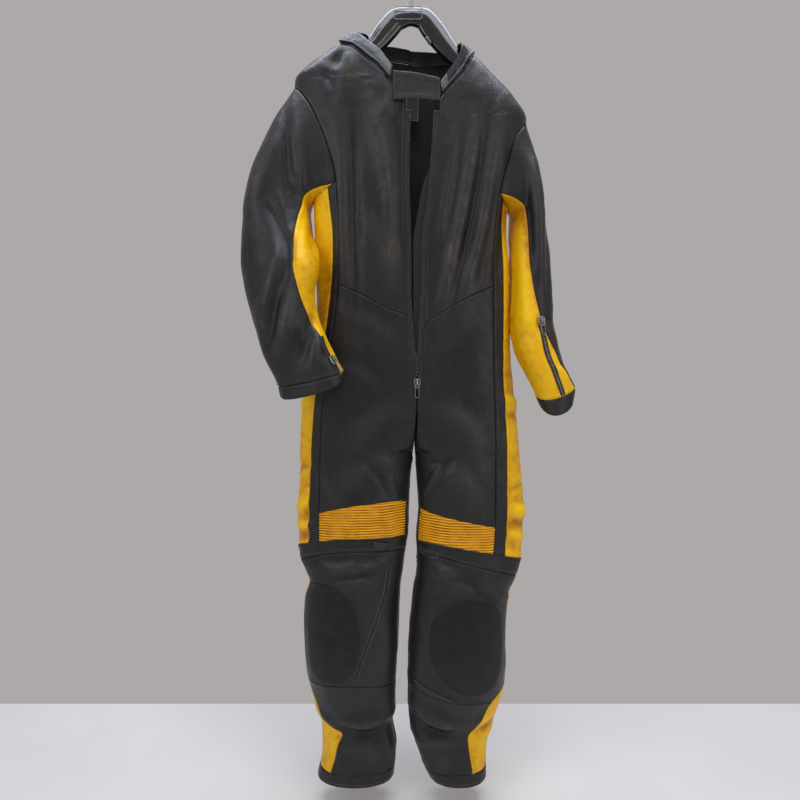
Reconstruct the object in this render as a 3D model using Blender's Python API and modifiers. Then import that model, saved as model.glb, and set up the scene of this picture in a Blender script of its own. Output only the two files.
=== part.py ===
"""A one-piece leather motorcycle race suit, hanging open-fronted on a moulded suit hanger.

The suit is cut and sewn from flat pieces, so every piece here is a curved wall of leather
that stops short of its neighbours at the seams. Units are metres, +Z is up and the suit's
front faces -Y. The origin is the inner top of the hanger's hook, where a rail carries it.
"left" and "right" are the wearer's: right is -X and left is +X.
"""

import math

import bmesh
import bpy
import numpy as np
from mathutils import Matrix, Vector

# ---------------------------------------------------------------- driving dimensions
LEATHER = 0.002          # thickness of the leather
SEAM = 0.0008            # how far each piece stops short of a seam line
LIFT = 0.0004            # air between a piece and what is sewn or pressed on it
SQUARE = 2.25            # exponent of the sections: 2 is an ellipse, more is boxier
SLEEVE_START = 0.0024    # the sleeve's top edge stands this far out from the armhole

RIGHT, LEFT = -1, 1
SIDES = {RIGHT: "right", LEFT: "left"}

CROTCH_Z = -0.985
WAIST_Z = -0.660
HEM_TOP_Z = -1.708
HEM_Z = -1.736

# Sections of the body and leg, from the neck down. x of the front edge, of the centre-back
# or inseam line, and of the outermost point; y of the side; depth in front of it and behind
# it; and how flat the section runs to the middle: 1 on the trunk, 0 on a closed leg.
BODY_COLUMNS = ("z", "edge", "spine", "out", "mid", "front", "back", "flat")
BODY = {
    RIGHT: (
        (-0.135, -0.012, 0.0, -0.078, 0.000, 0.046, 0.046, 1.00),
        (-0.156, -0.012, 0.0, -0.120, 0.000, 0.052, 0.050, 1.00),
        (-0.163, -0.012, 0.0, -0.157, 0.000, 0.055, 0.052, 1.00),
        (-0.176, -0.012, 0.0, -0.178, 0.000, 0.058, 0.053, 1.00),
        (-0.197, -0.012, 0.0, -0.210, 0.000, 0.062, 0.055, 1.00),
        (-0.224, -0.012, 0.0, -0.236, 0.000, 0.066, 0.057, 1.00),
        (-0.280, -0.012, 0.0, -0.238, 0.000, 0.069, 0.060, 1.00),
        (-0.360, -0.014, 0.0, -0.224, 0.000, 0.070, 0.061, 1.00),
        (-0.430, -0.015, 0.0, -0.204, 0.000, 0.068, 0.060, 1.00),
        (-0.540, -0.011, 0.0, -0.194, 0.000, 0.064, 0.056, 1.00),
        (-0.660, -0.010, 0.0, -0.196, 0.000, 0.060, 0.056, 1.00),
        (-0.764, -0.002, 0.0, -0.211, 0.000, 0.060, 0.062, 1.00),
        (-0.832, 0.0115, 0.0, -0.224, 0.000, 0.062, 0.068, 1.00),
        (-0.900, 0.0110, 0.0030, -0.233, 0.000, 0.064, 0.072, 0.92),
        (-0.950, 0.0085, 0.0050, -0.236, -0.001, 0.066, 0.073, 0.70),
        (-0.975, 0.0068, 0.0060, -0.237, -0.002, 0.066, 0.072, 0.38),
        (-0.985, 0.0062, 0.0062, -0.238, -0.002, 0.066, 0.071, 0.00),
        (-1.051, 0.0000, 0.0000, -0.239, -0.006, 0.065, 0.069, 0.00),
        (-1.107, -0.003, -0.003, -0.243, -0.011, 0.062, 0.064, 0.00),
        (-1.164, -0.005, -0.005, -0.242, -0.017, 0.060, 0.058, 0.00),
        (-1.209, -0.011, -0.011, -0.239, -0.022, 0.061, 0.054, 0.00),
        (-1.240, -0.015, -0.015, -0.226, -0.026, 0.062, 0.050, 0.00),
        (-1.261, -0.019, -0.019, -0.218, -0.028, 0.063, 0.048, 0.00),
        (-1.291, -0.021, -0.021, -0.225, -0.028, 0.067, 0.048, 0.00),
        (-1.333, -0.023, -0.023, -0.229, -0.027, 0.071, 0.050, 0.00),
        (-1.391, -0.025, -0.025, -0.231, -0.024, 0.073, 0.052, 0.00),
        (-1.449, -0.029, -0.029, -0.230, -0.020, 0.069, 0.052, 0.00),
        (-1.516, -0.031, -0.031, -0.219, -0.013, 0.060, 0.049, 0.00),
        (-1.568, -0.031, -0.031, -0.210, -0.006, 0.053, 0.046, 0.00),
        (-1.600, -0.037, -0.037, -0.199, -0.001, 0.048, 0.043, 0.00),
        (-1.655, -0.030, -0.030, -0.199, 0.003, 0.047, 0.042, 0.00),
        (-1.736, -0.037, -0.037, -0.211, 0.005, 0.052, 0.045, 0.00),
    ),
    LEFT: (
        (-0.135, 0.058, 0.0, 0.070, 0.000, 0.046, 0.046, 1.00),
        (-0.156, 0.058, 0.0, 0.098, 0.000, 0.050, 0.048, 1.00),
        (-0.177, 0.058, 0.0, 0.124, 0.000, 0.055, 0.051, 1.00),
        (-0.203, 0.057, 0.0, 0.154, 0.000, 0.060, 0.054, 1.00),
        (-0.232, 0.056, 0.0, 0.186, 0.000, 0.064, 0.056, 1.00),
        (-0.268, 0.055, 0.0, 0.216, 0.000, 0.067, 0.058, 1.00),
        (-0.302, 0.055, 0.0, 0.236, 0.000, 0.069, 0.060, 1.00),
        (-0.360, 0.052, 0.0, 0.234, 0.000, 0.070, 0.061, 1.00),
        (-0.460, 0.044, 0.0, 0.205, 0.000, 0.067, 0.060, 1.00),
        (-0.545, 0.033, 0.0, 0.199, 0.000, 0.064, 0.057, 1.00),
        (-0.660, 0.030, 0.0, 0.202, 0.000, 0.060, 0.056, 1.00),
        (-0.764, 0.026, 0.0, 0.211, 0.000, 0.060, 0.062, 1.00),
        (-0.832, 0.0145, 0.0, 0.219, 0.000, 0.062, 0.068, 1.00),
        (-0.900, 0.0140, 0.0060, 0.229, 0.000, 0.064, 0.072, 0.92),
        (-0.950, 0.0115, 0.0080, 0.233, -0.001, 0.066, 0.073, 0.70),
        (-0.975, 0.0102, 0.0096, 0.236, -0.002, 0.066, 0.072, 0.38),
        (-0.985, 0.0100, 0.0100, 0.237, -0.002, 0.066, 0.071, 0.00),
        (-1.034, 0.014, 0.014, 0.241, -0.005, 0.065, 0.070, 0.00),
        (-1.107, 0.019, 0.019, 0.247, -0.011, 0.062, 0.065, 0.00),
        (-1.177, 0.014, 0.014, 0.241, -0.018, 0.060, 0.059, 0.00),
        (-1.220, 0.014, 0.014, 0.238, -0.023, 0.061, 0.053, 0.00),
        (-1.250, 0.012, 0.012, 0.230, -0.026, 0.062, 0.050, 0.00),
        (-1.284, 0.006, 0.006, 0.215, -0.028, 0.065, 0.048, 0.00),
        (-1.354, 0.000, 0.000, 0.208, -0.026, 0.072, 0.050, 0.00),
        (-1.400, -0.003, -0.003, 0.208, -0.024, 0.073, 0.052, 0.00),
        (-1.449, -0.004, -0.004, 0.210, -0.020, 0.070, 0.052, 0.00),
        (-1.508, -0.004, -0.004, 0.206, -0.014, 0.062, 0.050, 0.00),
        (-1.568, -0.004, -0.004, 0.195, -0.006, 0.053, 0.047, 0.00),
        (-1.623, 0.002, 0.002, 0.183, 0.001, 0.047, 0.044, 0.00),
        (-1.655, 0.014, 0.014, 0.176, 0.003, 0.046, 0.043, 0.00),
        (-1.708, 0.033, 0.033, 0.175, 0.005, 0.050, 0.044, 0.00),
        (-1.736, 0.046, 0.046, 0.175, 0.005, 0.052, 0.045, 0.00),
    ),
}

# Where the neckline crosses the sections: height at each place round the section.
NECKLINE = {
    RIGHT: ((0.00, -0.288), (0.07, -0.273), (0.125, -0.248), (0.18, -0.212), (0.33, -0.172),
            (0.50, -0.155), (0.70, -0.156), (1.00, -0.166)),
    LEFT: ((0.00, -0.290), (0.10, -0.266), (0.165, -0.243), (0.26, -0.210), (0.36, -0.190),
           (0.50, -0.176), (0.70, -0.168), (1.00, -0.166)),
}

# The armhole: heights of the shoulder point, of the corners where its front and back edges
# meet the lower rim, and of the rim's lowest point.
ARMHOLE_COLUMNS = ("top", "corner", "bottom")
ARMHOLE = {
    RIGHT: dict(zip(ARMHOLE_COLUMNS, (-0.232, -0.436, -0.460))),
    LEFT: dict(zip(ARMHOLE_COLUMNS, (-0.302, -0.455, -0.476))),
}
CORNER_ANGLE = math.radians(128)   # the corners' place round the sleeve, from its top

# Long seams: x of the front seam of the narrow black side strip, which is the armhole's
# front edge above its corner; x of the seam between that strip and the yellow side; and
# the place round the section (0.5 is the side) of the yellow's back seam, which is the
# armhole's back edge above its corner.
SEAM_COLUMNS = ("z", "strip", "yellow", "behind")
SEAMS = {
    RIGHT: (
        (-0.232, -0.240, -0.166, 0.500),
        (-0.280, -0.204, -0.166, 0.575),
        (-0.330, -0.180, -0.166, 0.610),
        (-0.388, -0.159, -0.166, 0.615),
        (-0.436, -0.149, -0.166, 0.595),
        (-0.545, -0.143, -0.157, 0.580),
        (-0.690, -0.155, -0.170, 0.580),
        (-0.800, -0.171, -0.188, 0.580),
        (-0.900, -0.184, -0.202, 0.580),
        (-1.040, -0.190, -0.211, 0.580),
        (-1.182, -0.192, -0.216, 0.600),
        (-1.240, -0.182, -0.205, 0.600),
    ),
    LEFT: (
        (-0.302, 0.240, 0.187, 0.500),
        (-0.345, 0.209, 0.187, 0.575),
        (-0.397, 0.194, 0.187, 0.610),
        (-0.455, 0.176, 0.190, 0.590),
        (-0.545, 0.168, 0.187, 0.580),
        (-0.674, 0.170, 0.190, 0.580),
        (-0.830, 0.172, 0.193, 0.580),
        (-0.900, 0.175, 0.198, 0.580),
        (-1.000, 0.177, 0.202, 0.580),
        (-1.124, 0.176, 0.202, 0.580),
        (-1.200, 0.172, 0.197, 0.600),
        (-1.240, 0.168, 0.193, 0.600),
    ),
}

# Lower leg, from the knee band down: place round the section of the yellow calf's front
# seam and back seam.
CALF_COLUMNS = ("z", "yellow", "behind")
CALF = {
    RIGHT: (
        (-1.170, 0.46, 0.60), (-1.240, 0.45, 0.60), (-1.285, 0.47, 0.60), (-1.330, 0.51, 0.60),
        (-1.450, 0.50, 0.60), (-1.500, 0.44, 0.60), (-1.580, 0.385, 0.60), (-1.610, 0.31, 0.60),
        (-1.640, 0.335, 0.60), (-1.736, 0.37, 0.60),
    ),
    LEFT: (
        (-1.170, 0.46, 0.60), (-1.240, 0.45, 0.60), (-1.290, 0.445, 0.60), (-1.330, 0.47, 0.60),
        (-1.400, 0.50, 0.60), (-1.470, 0.50, 0.60), (-1.530, 0.375, 0.60), (-1.590, 0.34, 0.60),
        (-1.615, 0.31, 0.60), (-1.650, 0.32, 0.60), (-1.736, 0.335, 0.60),
    ),
}

# Cross seams of each half: height at each place round the section.
WAIST_SEAM = {
    RIGHT: ((0.00, -0.700), (0.12, -0.690), (0.25, -0.655), (0.42, -0.612)),
    LEFT: ((0.00, -0.725), (0.12, -0.700), (0.25, -0.662), (0.42, -0.625)),
}
RIB_TOP = {
    RIGHT: ((0.00, -1.098), (0.13, -1.084), (0.25, -1.092), (0.42, -1.122)),
    LEFT: ((0.00, -1.102), (0.13, -1.112), (0.25, -1.127), (0.42, -1.152)),
}
BAND_TOP = {
    RIGHT: ((0.00, -1.166), (0.13, -1.160), (0.25, -1.160), (0.40, -1.176), (0.52, -1.196)),
    LEFT: ((0.00, -1.176), (0.13, -1.174), (0.25, -1.184), (0.40, -1.206), (0.52, -1.222)),
}
BAND_BOTTOM = {
    RIGHT: ((0.00, -1.198), (0.13, -1.188), (0.25, -1.186), (0.40, -1.204), (0.52, -1.222)),
    LEFT: ((0.00, -1.198), (0.13, -1.198), (0.25, -1.214), (0.40, -1.240), (0.52, -1.254)),
}
KNEE_BOTTOM = {
    RIGHT: ((0.00, -1.500), (0.13, -1.486), (0.25, -1.476), (0.46, -1.480)),
    LEFT: ((0.00, -1.480), (0.13, -1.500), (0.25, -1.520), (0.46, -1.530)),
}
BAND_END = 0.60          # the knee band's back end, behind the side
SIDE_SPLIT_Z = -0.750
INSEAM_REACH = {RIGHT: 0.062, LEFT: 0.040}
HEM_POINTS = 16

# Knee pads: the rows and columns of the knee piece's own grid that each one covers, and its
# distance from the knee piece.
PAD_ROWS = {RIGHT: (0, 5), LEFT: (1, 6)}
PAD_COLUMNS = {RIGHT: (3, 7), LEFT: (2, 7)}
PAD_LIFT = 0.0036

# Sleeves, from the armhole down: the section's outer point and inner point, half its depth
# across that line, and how far the section's front hangs below its back.
SLEEVE_COLUMNS = ("ox", "oy", "oz", "ix", "iy", "iz", "deep", "dip")
SLEEVE = {
    RIGHT: (
        (-0.236, 0.000, -0.232, -0.204, 0.000, -0.456, 0.052, 0.000),
        (-0.283, -0.004, -0.310, -0.213, -0.008, -0.490, 0.060, 0.000),
        (-0.318, -0.008, -0.400, -0.206, -0.032, -0.530, 0.056, 0.000),
        (-0.340, -0.014, -0.490, -0.188, -0.070, -0.572, 0.048, 0.000),
        (-0.343, -0.022, -0.580, -0.183, -0.098, -0.608, 0.046, 0.000),
        (-0.330, -0.034, -0.655, -0.196, -0.104, -0.662, 0.046, 0.000),
        (-0.308, -0.052, -0.722, -0.182, -0.116, -0.720, 0.044, 0.000),
        (-0.288, -0.070, -0.780, -0.154, -0.128, -0.774, 0.038, 0.003),
        (-0.262, -0.088, -0.838, -0.133, -0.138, -0.812, 0.032, 0.006),
        (-0.256, -0.092, -0.858, -0.130, -0.140, -0.828, 0.031, 0.014),
    ),
    LEFT: (
        (0.236, 0.000, -0.302, 0.205, 0.000, -0.474, 0.052, 0.000),
        (0.255, -0.002, -0.390, 0.213, -0.006, -0.500, 0.062, 0.000),
        (0.269, -0.006, -0.480, 0.211, -0.014, -0.530, 0.064, 0.000),
        (0.282, -0.010, -0.560, 0.210, -0.020, -0.580, 0.062, 0.000),
        (0.287, -0.016, -0.635, 0.211, -0.026, -0.640, 0.060, 0.000),
        (0.289, -0.026, -0.700, 0.208, -0.040, -0.710, 0.056, 0.000),
        (0.300, -0.040, -0.758, 0.214, -0.056, -0.768, 0.050, 0.000),
        (0.314, -0.052, -0.806, 0.238, -0.070, -0.822, 0.043, 0.002),
        (0.331, -0.060, -0.840, 0.258, -0.076, -0.866, 0.036, 0.006),
        (0.326, -0.062, -0.862, 0.266, -0.078, -0.888, 0.035, 0.018),
    ),
}
CUFF_ROW = 8             # the cuff band is the last row of the sleeve tables
CUFF_POINTS = 14

# The yellow inner piece of each sleeve: its front and back seams, in degrees round the
# section from the outer point over the front, at each row of the sleeve table.
INNER_SLEEVE = {
    RIGHT: ((132, 200), (140, 222), (136, 238), (128, 245), (128, 245),
            (150, 240), (166, 235), (168, 230), (170, 225)),
    LEFT: ((130, 210), (130, 225), (128, 238), (124, 245), (112, 250),
           (92, 250), (72, 245), (55, 240), (34, 235)),
}

# Collar: top edge above each place of the neckline, as inward lean and rise.
COLLAR_COLUMNS = ("u", "lean", "rise")
COLLAR = {
    RIGHT: ((0.00, 0.010, 0.040), (0.18, 0.018, 0.036), (0.36, 0.026, 0.030),
            (0.50, 0.030, 0.024), (0.70, 0.016, 0.026), (1.00, 0.004, 0.028)),
    LEFT: ((0.00, 0.008, 0.034), (0.18, 0.016, 0.034), (0.36, 0.026, 0.030),
           (0.50, 0.026, 0.030), (0.70, 0.016, 0.024), (1.00, 0.004, 0.028)),
}
COLLAR_RINGS = (0.0, 0.16, 0.55, 1.0)   # shares of the band's height that have points
PIPING_RADIUS = 0.0022
COLLAR_START = 0.0022    # the collar's lower edge stands this far above the neckline
NECK_MIDDLE = (0.0, 0.0, -0.190)

# Closure tab across the throat, hook patch on the collar, label inside the back.
TAB = {"x": -0.036, "width": 0.092, "bottom": -0.286, "drop": -0.002,
       "tall": 0.054, "taper": -0.012, "y": -0.0765, "bulge": 0.006}
HOOK_PATCH = {"thick": 0.0014, "inset": 0.003}
LABEL = {"size": (0.028, 0.0012, 0.052), "place": (0.004, 0.034, -0.262), "tilt": -4}

# Front zip: its open edges run from the neckline to the slider.
ZIP_BOTTOM_Z = -0.836
TAPE = {"width": 0.010, "thick": 0.0012, "above_slider": 0.030, "below_neck": 0.012,
        "from_edge": 0.0009, "behind_edge": 0.0006}
SLIDER = {"width": 0.0115, "height": 0.0170, "depth": 0.0060}
PULL = {"width": 0.0080, "length": 0.0340, "thick": 0.0016, "eye": 0.0004}
FLAP_EDGE = ((-0.330, 0.046), (-0.398, 0.040), (-0.440, 0.024), (-0.480, 0.016),
             (-0.562, 0.004), (-0.730, 0.004), (-0.800, 0.011))
FLAP = {"under_edge": 0.016, "behind": 0.0085, "lean": -0.0025}
CUFF_ZIPS = {LEFT: {"row": 5.1, "degrees": 92}, RIGHT: {"row": 7.3, "degrees": 166}}

# Hanger: along its length, x and height of the middle of the bar, half its height and
# half its depth.
HANGER_COLUMNS = ("x", "z", "tall", "deep")
HANGER = (
    (-0.203, -0.229, 0.006, 0.010),
    (-0.195, -0.223, 0.010, 0.016),
    (-0.165, -0.203, 0.012, 0.016),
    (-0.120, -0.181, 0.015, 0.014),
    (-0.078, -0.153, 0.018, 0.012),
    (-0.048, -0.119, 0.022, 0.011),
    (-0.026, -0.0985, 0.0215, 0.011),
    (0.000, -0.0940, 0.0175, 0.011),
    (0.024, -0.0975, 0.0205, 0.011),
    (0.046, -0.121, 0.023, 0.011),
    (0.078, -0.160, 0.019, 0.012),
    (0.120, -0.201, 0.015, 0.014),
    (0.155, -0.234, 0.012, 0.016),
    (0.188, -0.267, 0.010, 0.016),
    (0.196, -0.276, 0.006, 0.010),
)
HANGER_STATIONS = 29
HOOK = {"width": 0.012, "thick": 0.003, "radius": 0.017, "foot_z": -0.0745}
HOOK_NECK = ((0.0, -0.058), (-0.004, -0.048))
HOOK_SWEEP = (-50, 201, 25)              # degrees round the hook: from, to and step
PLATE = {"width": 0.056, "height": 0.024, "thick": 0.0022, "x": -0.006, "y": -0.0133,
         "z": -0.0935}

COLOURS = {
    "black leather": ((0.020, 0.020, 0.022), 0.42, 0.0),
    "yellow leather": ((0.800, 0.510, 0.008), 0.45, 0.0),
    "yellow ribbed stretch leather": ((0.640, 0.350, 0.010), 0.55, 0.0),
    "hook and loop": ((0.012, 0.012, 0.014), 0.95, 0.0),
    "woven zip tape": ((0.015, 0.015, 0.016), 0.85, 0.0),
    "lining label": ((0.060, 0.060, 0.062), 0.80, 0.0),
    "zip metal": ((0.350, 0.340, 0.330), 0.35, 1.0),
    "hanger plastic": ((0.012, 0.013, 0.015), 0.22, 0.0),
    "chromed steel": ((0.600, 0.610, 0.620), 0.12, 1.0),
    "plate plastic": ((0.300, 0.290, 0.310), 0.35, 0.0),
}


# ---------------------------------------------------------------- tables and curves
def curve(points, at):
    """A smooth curve through (place, value) points that never overshoots them."""
    place, value = np.array(sorted(points), float).T
    at = np.clip(np.asarray(at, float), place[0], place[-1])
    step = np.diff(place)
    slope = np.diff(value) / step
    inner = np.where(slope[:-1] * slope[1:] > 0,
                     2 * slope[:-1] * slope[1:] / np.where(slope[:-1] + slope[1:] == 0, 1,
                                                           slope[:-1] + slope[1:]), 0)
    tangent = np.concatenate([slope[:1], inner, slope[-1:]])
    k = np.clip(np.searchsorted(place, at, side="right") - 1, 0, len(step) - 1)
    t = (at - place[k]) / step[k]
    start = value[k] * (1 + 2 * t) * (1 - t) ** 2 + tangent[k] * step[k] * t * (1 - t) ** 2
    end = value[k + 1] * t * t * (3 - 2 * t) + tangent[k + 1] * step[k] * t * t * (t - 1)
    return start + end


def column(rows, columns, name, at):
    """One named column of a table, as a curve over its first column."""
    k = columns.index(name)
    return curve([(row[0], row[k]) for row in rows], at)


def round_off(angle):
    """Cosine and sine of an angle, pushed out to a slightly square section."""
    c, s = np.cos(angle), np.sin(angle)
    grow = (np.abs(c) ** SQUARE + np.abs(s) ** SQUARE) ** (-1 / SQUARE)
    return c * grow, s * grow


# ---------------------------------------------------------------- the suit's surfaces
def body_point(side, u, z):
    """The point at a place round the section: 0 front middle, 0.5 side, 1 back middle."""
    u, z = np.broadcast_arrays(np.asarray(u, float), np.asarray(z, float))
    get = {name: column(BODY[side], BODY_COLUMNS, name, z) for name in BODY_COLUMNS[1:]}
    front = u <= 0.5
    inner = np.where(front, get["edge"], get["spine"])
    depth = np.where(front, -get["front"], get["back"])
    apex = (inner + get["out"]) / 2
    arc = np.where(front, u, 1 - u) * 4
    near_c, near_s = round_off(np.clip(arc, 0, 1) * math.pi / 2)
    far_c, far_s = round_off(np.clip(arc - 1, 0, 1) * math.pi / 2)
    near = arc < 1
    x = np.where(near, apex - (apex - inner) * near_c, apex + (get["out"] - apex) * far_s)
    deep = np.where(near, get["flat"] + (1 - get["flat"]) * near_s, far_c)
    return np.stack([x, get["mid"] + depth * deep, z], axis=-1)


def place_of_x(side, z, x):
    """The place round the front of the section at height z that lies at x."""
    edge, out = (column(BODY[side], BODY_COLUMNS, n, z) for n in ("edge", "out"))
    apex = (edge + out) / 2
    share = np.clip((x - apex) / (out - apex), -1, 1)
    rest = (1 - np.abs(share) ** SQUARE) ** (1 / SQUARE)
    return 0.25 + np.arctan2(share, rest) / (2 * math.pi)


def seam_place(side, z, name):
    """The place round the section of one of the long seams."""
    value = column(SEAMS[side], SEAM_COLUMNS, name, z)
    return value if name == "behind" else place_of_x(side, z, value)


def side_edge(side, z, seam):
    """The outer edge of a front or back piece: shoulder seam, armhole, then a long seam."""
    return np.where(z >= ARMHOLE[side]["top"], 0.5, seam_place(side, z, seam))


def rim_ends(side):
    """The places of the armhole's two lower corners."""
    corner = ARMHOLE[side]["corner"]
    return float(seam_place(side, corner, "strip")), float(seam_place(side, corner, "behind"))


def rim_height(side, place):
    """Height of the armhole's lower rim at a place round the section."""
    hole = ARMHOLE[side]
    first, last = rim_ends(side)
    share = np.clip((place - first) / (last - first), 0, 1)
    return hole["corner"] + (hole["bottom"] - hole["corner"]) * np.sin(math.pi * share)


def sleeve_point(side, angle, row):
    """The point of a sleeve at an angle from its outer line, at a row of its table."""
    angle, row = np.broadcast_arrays(np.asarray(angle, float), np.asarray(row, float))
    table = [(k, *values) for k, values in enumerate(SLEEVE[side])]
    columns = ("row",) + SLEEVE_COLUMNS
    get = {name: column(table, columns, name, row) for name in SLEEVE_COLUMNS}
    outer = np.stack([get["ox"], get["oy"], get["oz"]], axis=-1)
    inner = np.stack([get["ix"], get["iy"], get["iz"]], axis=-1)
    half = (outer - inner) / 2
    across = np.stack([half[..., 1], -half[..., 0], np.zeros_like(row)], axis=-1)
    across /= np.linalg.norm(across, axis=-1, keepdims=True)
    across *= np.sign(-across[..., 1:2])
    c, s = round_off(angle)
    point = (outer + inner) / 2 + half * c[..., None] + across * (get["deep"] * s)[..., None]
    point[..., 2] -= get["dip"] * s
    return point


def armhole_point(side, angle):
    """The armhole's own line on the body, at the sleeve's angles."""
    hole = ARMHOLE[side]
    first, last = rim_ends(side)
    turn = np.mod(angle, 2 * math.pi)
    over_front = turn <= math.pi
    down = np.where(over_front, turn, 2 * math.pi - turn) / CORNER_ANGLE
    drop = 1 - np.cos(np.clip(down, 0, 1) * math.pi / 2)
    z = hole["top"] + (hole["corner"] - hole["top"]) * drop
    edge = np.where(over_front, seam_place(side, z, "strip"), seam_place(side, z, "behind"))
    share = (turn - CORNER_ANGLE) / (2 * math.pi - 2 * CORNER_ANGLE)
    rim = first + (last - first) * np.clip(share, 0, 1)
    place = np.where(down < 1, edge, rim)
    return body_point(side, place, np.where(down < 1, z, rim_height(side, rim)))


def sewn_sleeve_point(side, angle, row):
    """The sleeve, drawn to the armhole over its first row."""
    angle, row = np.broadcast_arrays(np.asarray(angle, float), np.asarray(row, float))
    pull = armhole_point(side, angle) - sleeve_point(side, angle, np.zeros_like(row))
    pull[..., 0] += side * SLEEVE_START
    return sleeve_point(side, angle, row) + pull * (np.clip(1 - row, 0, 1) ** 2)[..., None]


def neck_point(side, u):
    """The neckline at a place round the section."""
    u = np.asarray(u, float)
    return body_point(side, u, curve(NECKLINE[side], u))


def collar_point(side, u, up):
    """The stand collar: from the neckline, leaning in as it rises."""
    u, up = np.broadcast_arrays(np.asarray(u, float), np.asarray(up, float))
    base = neck_point(side, u)
    lean = column(COLLAR[side], COLLAR_COLUMNS, "lean", u)
    rise = column(COLLAR[side], COLLAR_COLUMNS, "rise", u)
    turn = np.pi * u
    inward = np.stack([-side * np.sin(turn), np.cos(turn), np.zeros_like(u)], axis=-1)
    point = base + inward * (lean * up)[..., None]
    point[..., 2] += COLLAR_START + rise * up
    return point


# ---------------------------------------------------------------- objects from grids
def material(name):
    """The named material, made the first time it is asked for."""
    found = bpy.data.materials.get(name)
    if found:
        return found
    colour, roughness, metallic = COLOURS[name]
    made = bpy.data.materials.new(name)
    made.use_nodes = True
    shader = made.node_tree.nodes["Principled BSDF"]
    shader.inputs["Base Color"].default_value = (*colour, 1)
    shader.inputs["Roughness"].default_value = roughness
    shader.inputs["Metallic"].default_value = metallic
    made.diffuse_color = (*colour, 1)
    return made


def add_object(name, mesh, finish):
    """A new object of the suit's collection, with its own finish."""
    mesh.materials.append(material(finish))
    made = bpy.data.objects.new(name, mesh)
    SUIT.objects.link(made)
    return made


def stop_short(grid, gap=SEAM, sides="udlr"):
    """The grid with its outer lines drawn in from the seams: up, down, left, right."""
    grid = np.array(grid, float)
    lines = {
        "d": (grid[0], grid[1]), "u": (grid[-1], grid[-2]),
        "l": (grid[:, 0], grid[:, 1]), "r": (grid[:, -1], grid[:, -2]),
    }
    moves = {}
    for key in sides:
        edge, inside = lines[key]
        away = inside - edge
        moves[key] = away / np.maximum(np.linalg.norm(away, axis=-1, keepdims=True), 1e-9)
    for key, move in moves.items():
        lines[key][0][...] += move * gap
    return grid


def grid_mesh(name, grid, ring=False, trimmed=False):
    """An open mesh on a grid of points.

    A ring joins its last column to its first; trimmed cuts the four corners off.
    """
    rows, columns = grid.shape[:2]
    work = bmesh.new()
    points = [[work.verts.new(p) for p in line] for line in grid]
    for r in range(rows - 1):
        for c in range(columns if ring else columns - 1):
            d = (c + 1) % columns
            corners = {(r, c): points[r][c], (r, d): points[r][d],
                       (r + 1, d): points[r + 1][d], (r + 1, c): points[r + 1][c]}
            if trimmed:
                for outermost in ((0, 0), (0, columns - 1), (rows - 1, 0),
                                  (rows - 1, columns - 1)):
                    corners.pop(outermost, None)
            work.faces.new(corners.values())
    loose = [v for v in work.verts if not v.link_faces]
    bmesh.ops.delete(work, geom=loose, context="VERTS")
    mesh = bpy.data.meshes.new(name)
    work.to_mesh(mesh)
    work.free()
    mesh.shade_smooth()
    return mesh


def cloth(name, grid, finish="black leather", thick=LEATHER, ring=False, trimmed=False):
    """One cut piece: a grid of points with the leather's thickness, half on each side."""
    made = add_object(name, grid_mesh(name, grid, ring, trimmed), finish)
    wall = made.modifiers.new("leather thickness", "SOLIDIFY")
    wall.thickness = thick
    wall.offset = 0
    wall.use_even_offset = True
    wall.thickness_clamp = 0.0
    return made


def patch_grid(side, edges, lower, upper, columns, steps):
    """Points of a piece between two long seams and two cross seams of the body.

    edges gives the places of both long seams at a height; lower and upper give the height
    of the cross seams at a place. columns and steps are counts, or the shares themselves.
    """
    share = np.linspace(0, 1, columns + 1) if isinstance(columns, int) else columns
    step = (np.linspace(0, 1, steps + 1) if isinstance(steps, int) else steps)[:, None]
    ends = []
    for height in (lower, upper):
        z = height(0.25 + 0 * share)
        for _ in range(4):
            first, last = edges(z)
            z = height(first + (last - first) * share)
        ends.append(z[None, :])
    z = ends[0] + (ends[1] - ends[0]) * step
    first, last = edges(z)
    return body_point(side, first + (last - first) * share[None, :], z)


def normals(grid):
    """Unit normals of a grid of points."""
    along = np.gradient(grid, axis=0)
    across = np.gradient(grid, axis=1)
    found = np.cross(across, along)
    return found / np.maximum(np.linalg.norm(found, axis=-1, keepdims=True), 1e-12)


def moved_out(grid, distance, middle):
    """The grid moved along its normals, away from a middle point."""
    direction = normals(grid)
    outward = np.sum(direction * (grid - np.asarray(middle)), axis=-1).mean()
    return grid + direction * distance * np.sign(outward)


def level(value):
    """A cross seam at one height."""
    return lambda place: value + 0 * place


def seam(points):
    """A cross seam whose height follows a short table."""
    return lambda place: curve(points, place)


def shares(heights):
    """Heights as shares of the way from the first to the last."""
    heights = np.asarray(heights, float)
    return (heights - heights[0]) / (heights[-1] - heights[0])


# ---------------------------------------------------------------- trunk
def add_front(side):
    """The chest piece, from the neckline to the slanted waist seam."""
    def chest(z):
        return 0 * z, side_edge(side, z, "strip")

    grid = patch_grid(side, chest, seam(WAIST_SEAM[side]), seam(NECKLINE[side]), 8, 11)
    cloth(f"front_{SIDES[side]}", stop_short(grid))


def inseam_reach(side, z):
    """How far the inseam piece reaches round the front, narrowing to the crotch."""
    return INSEAM_REACH[side] * np.clip((CROTCH_Z - z) / 0.05, 0, 1)


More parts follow.
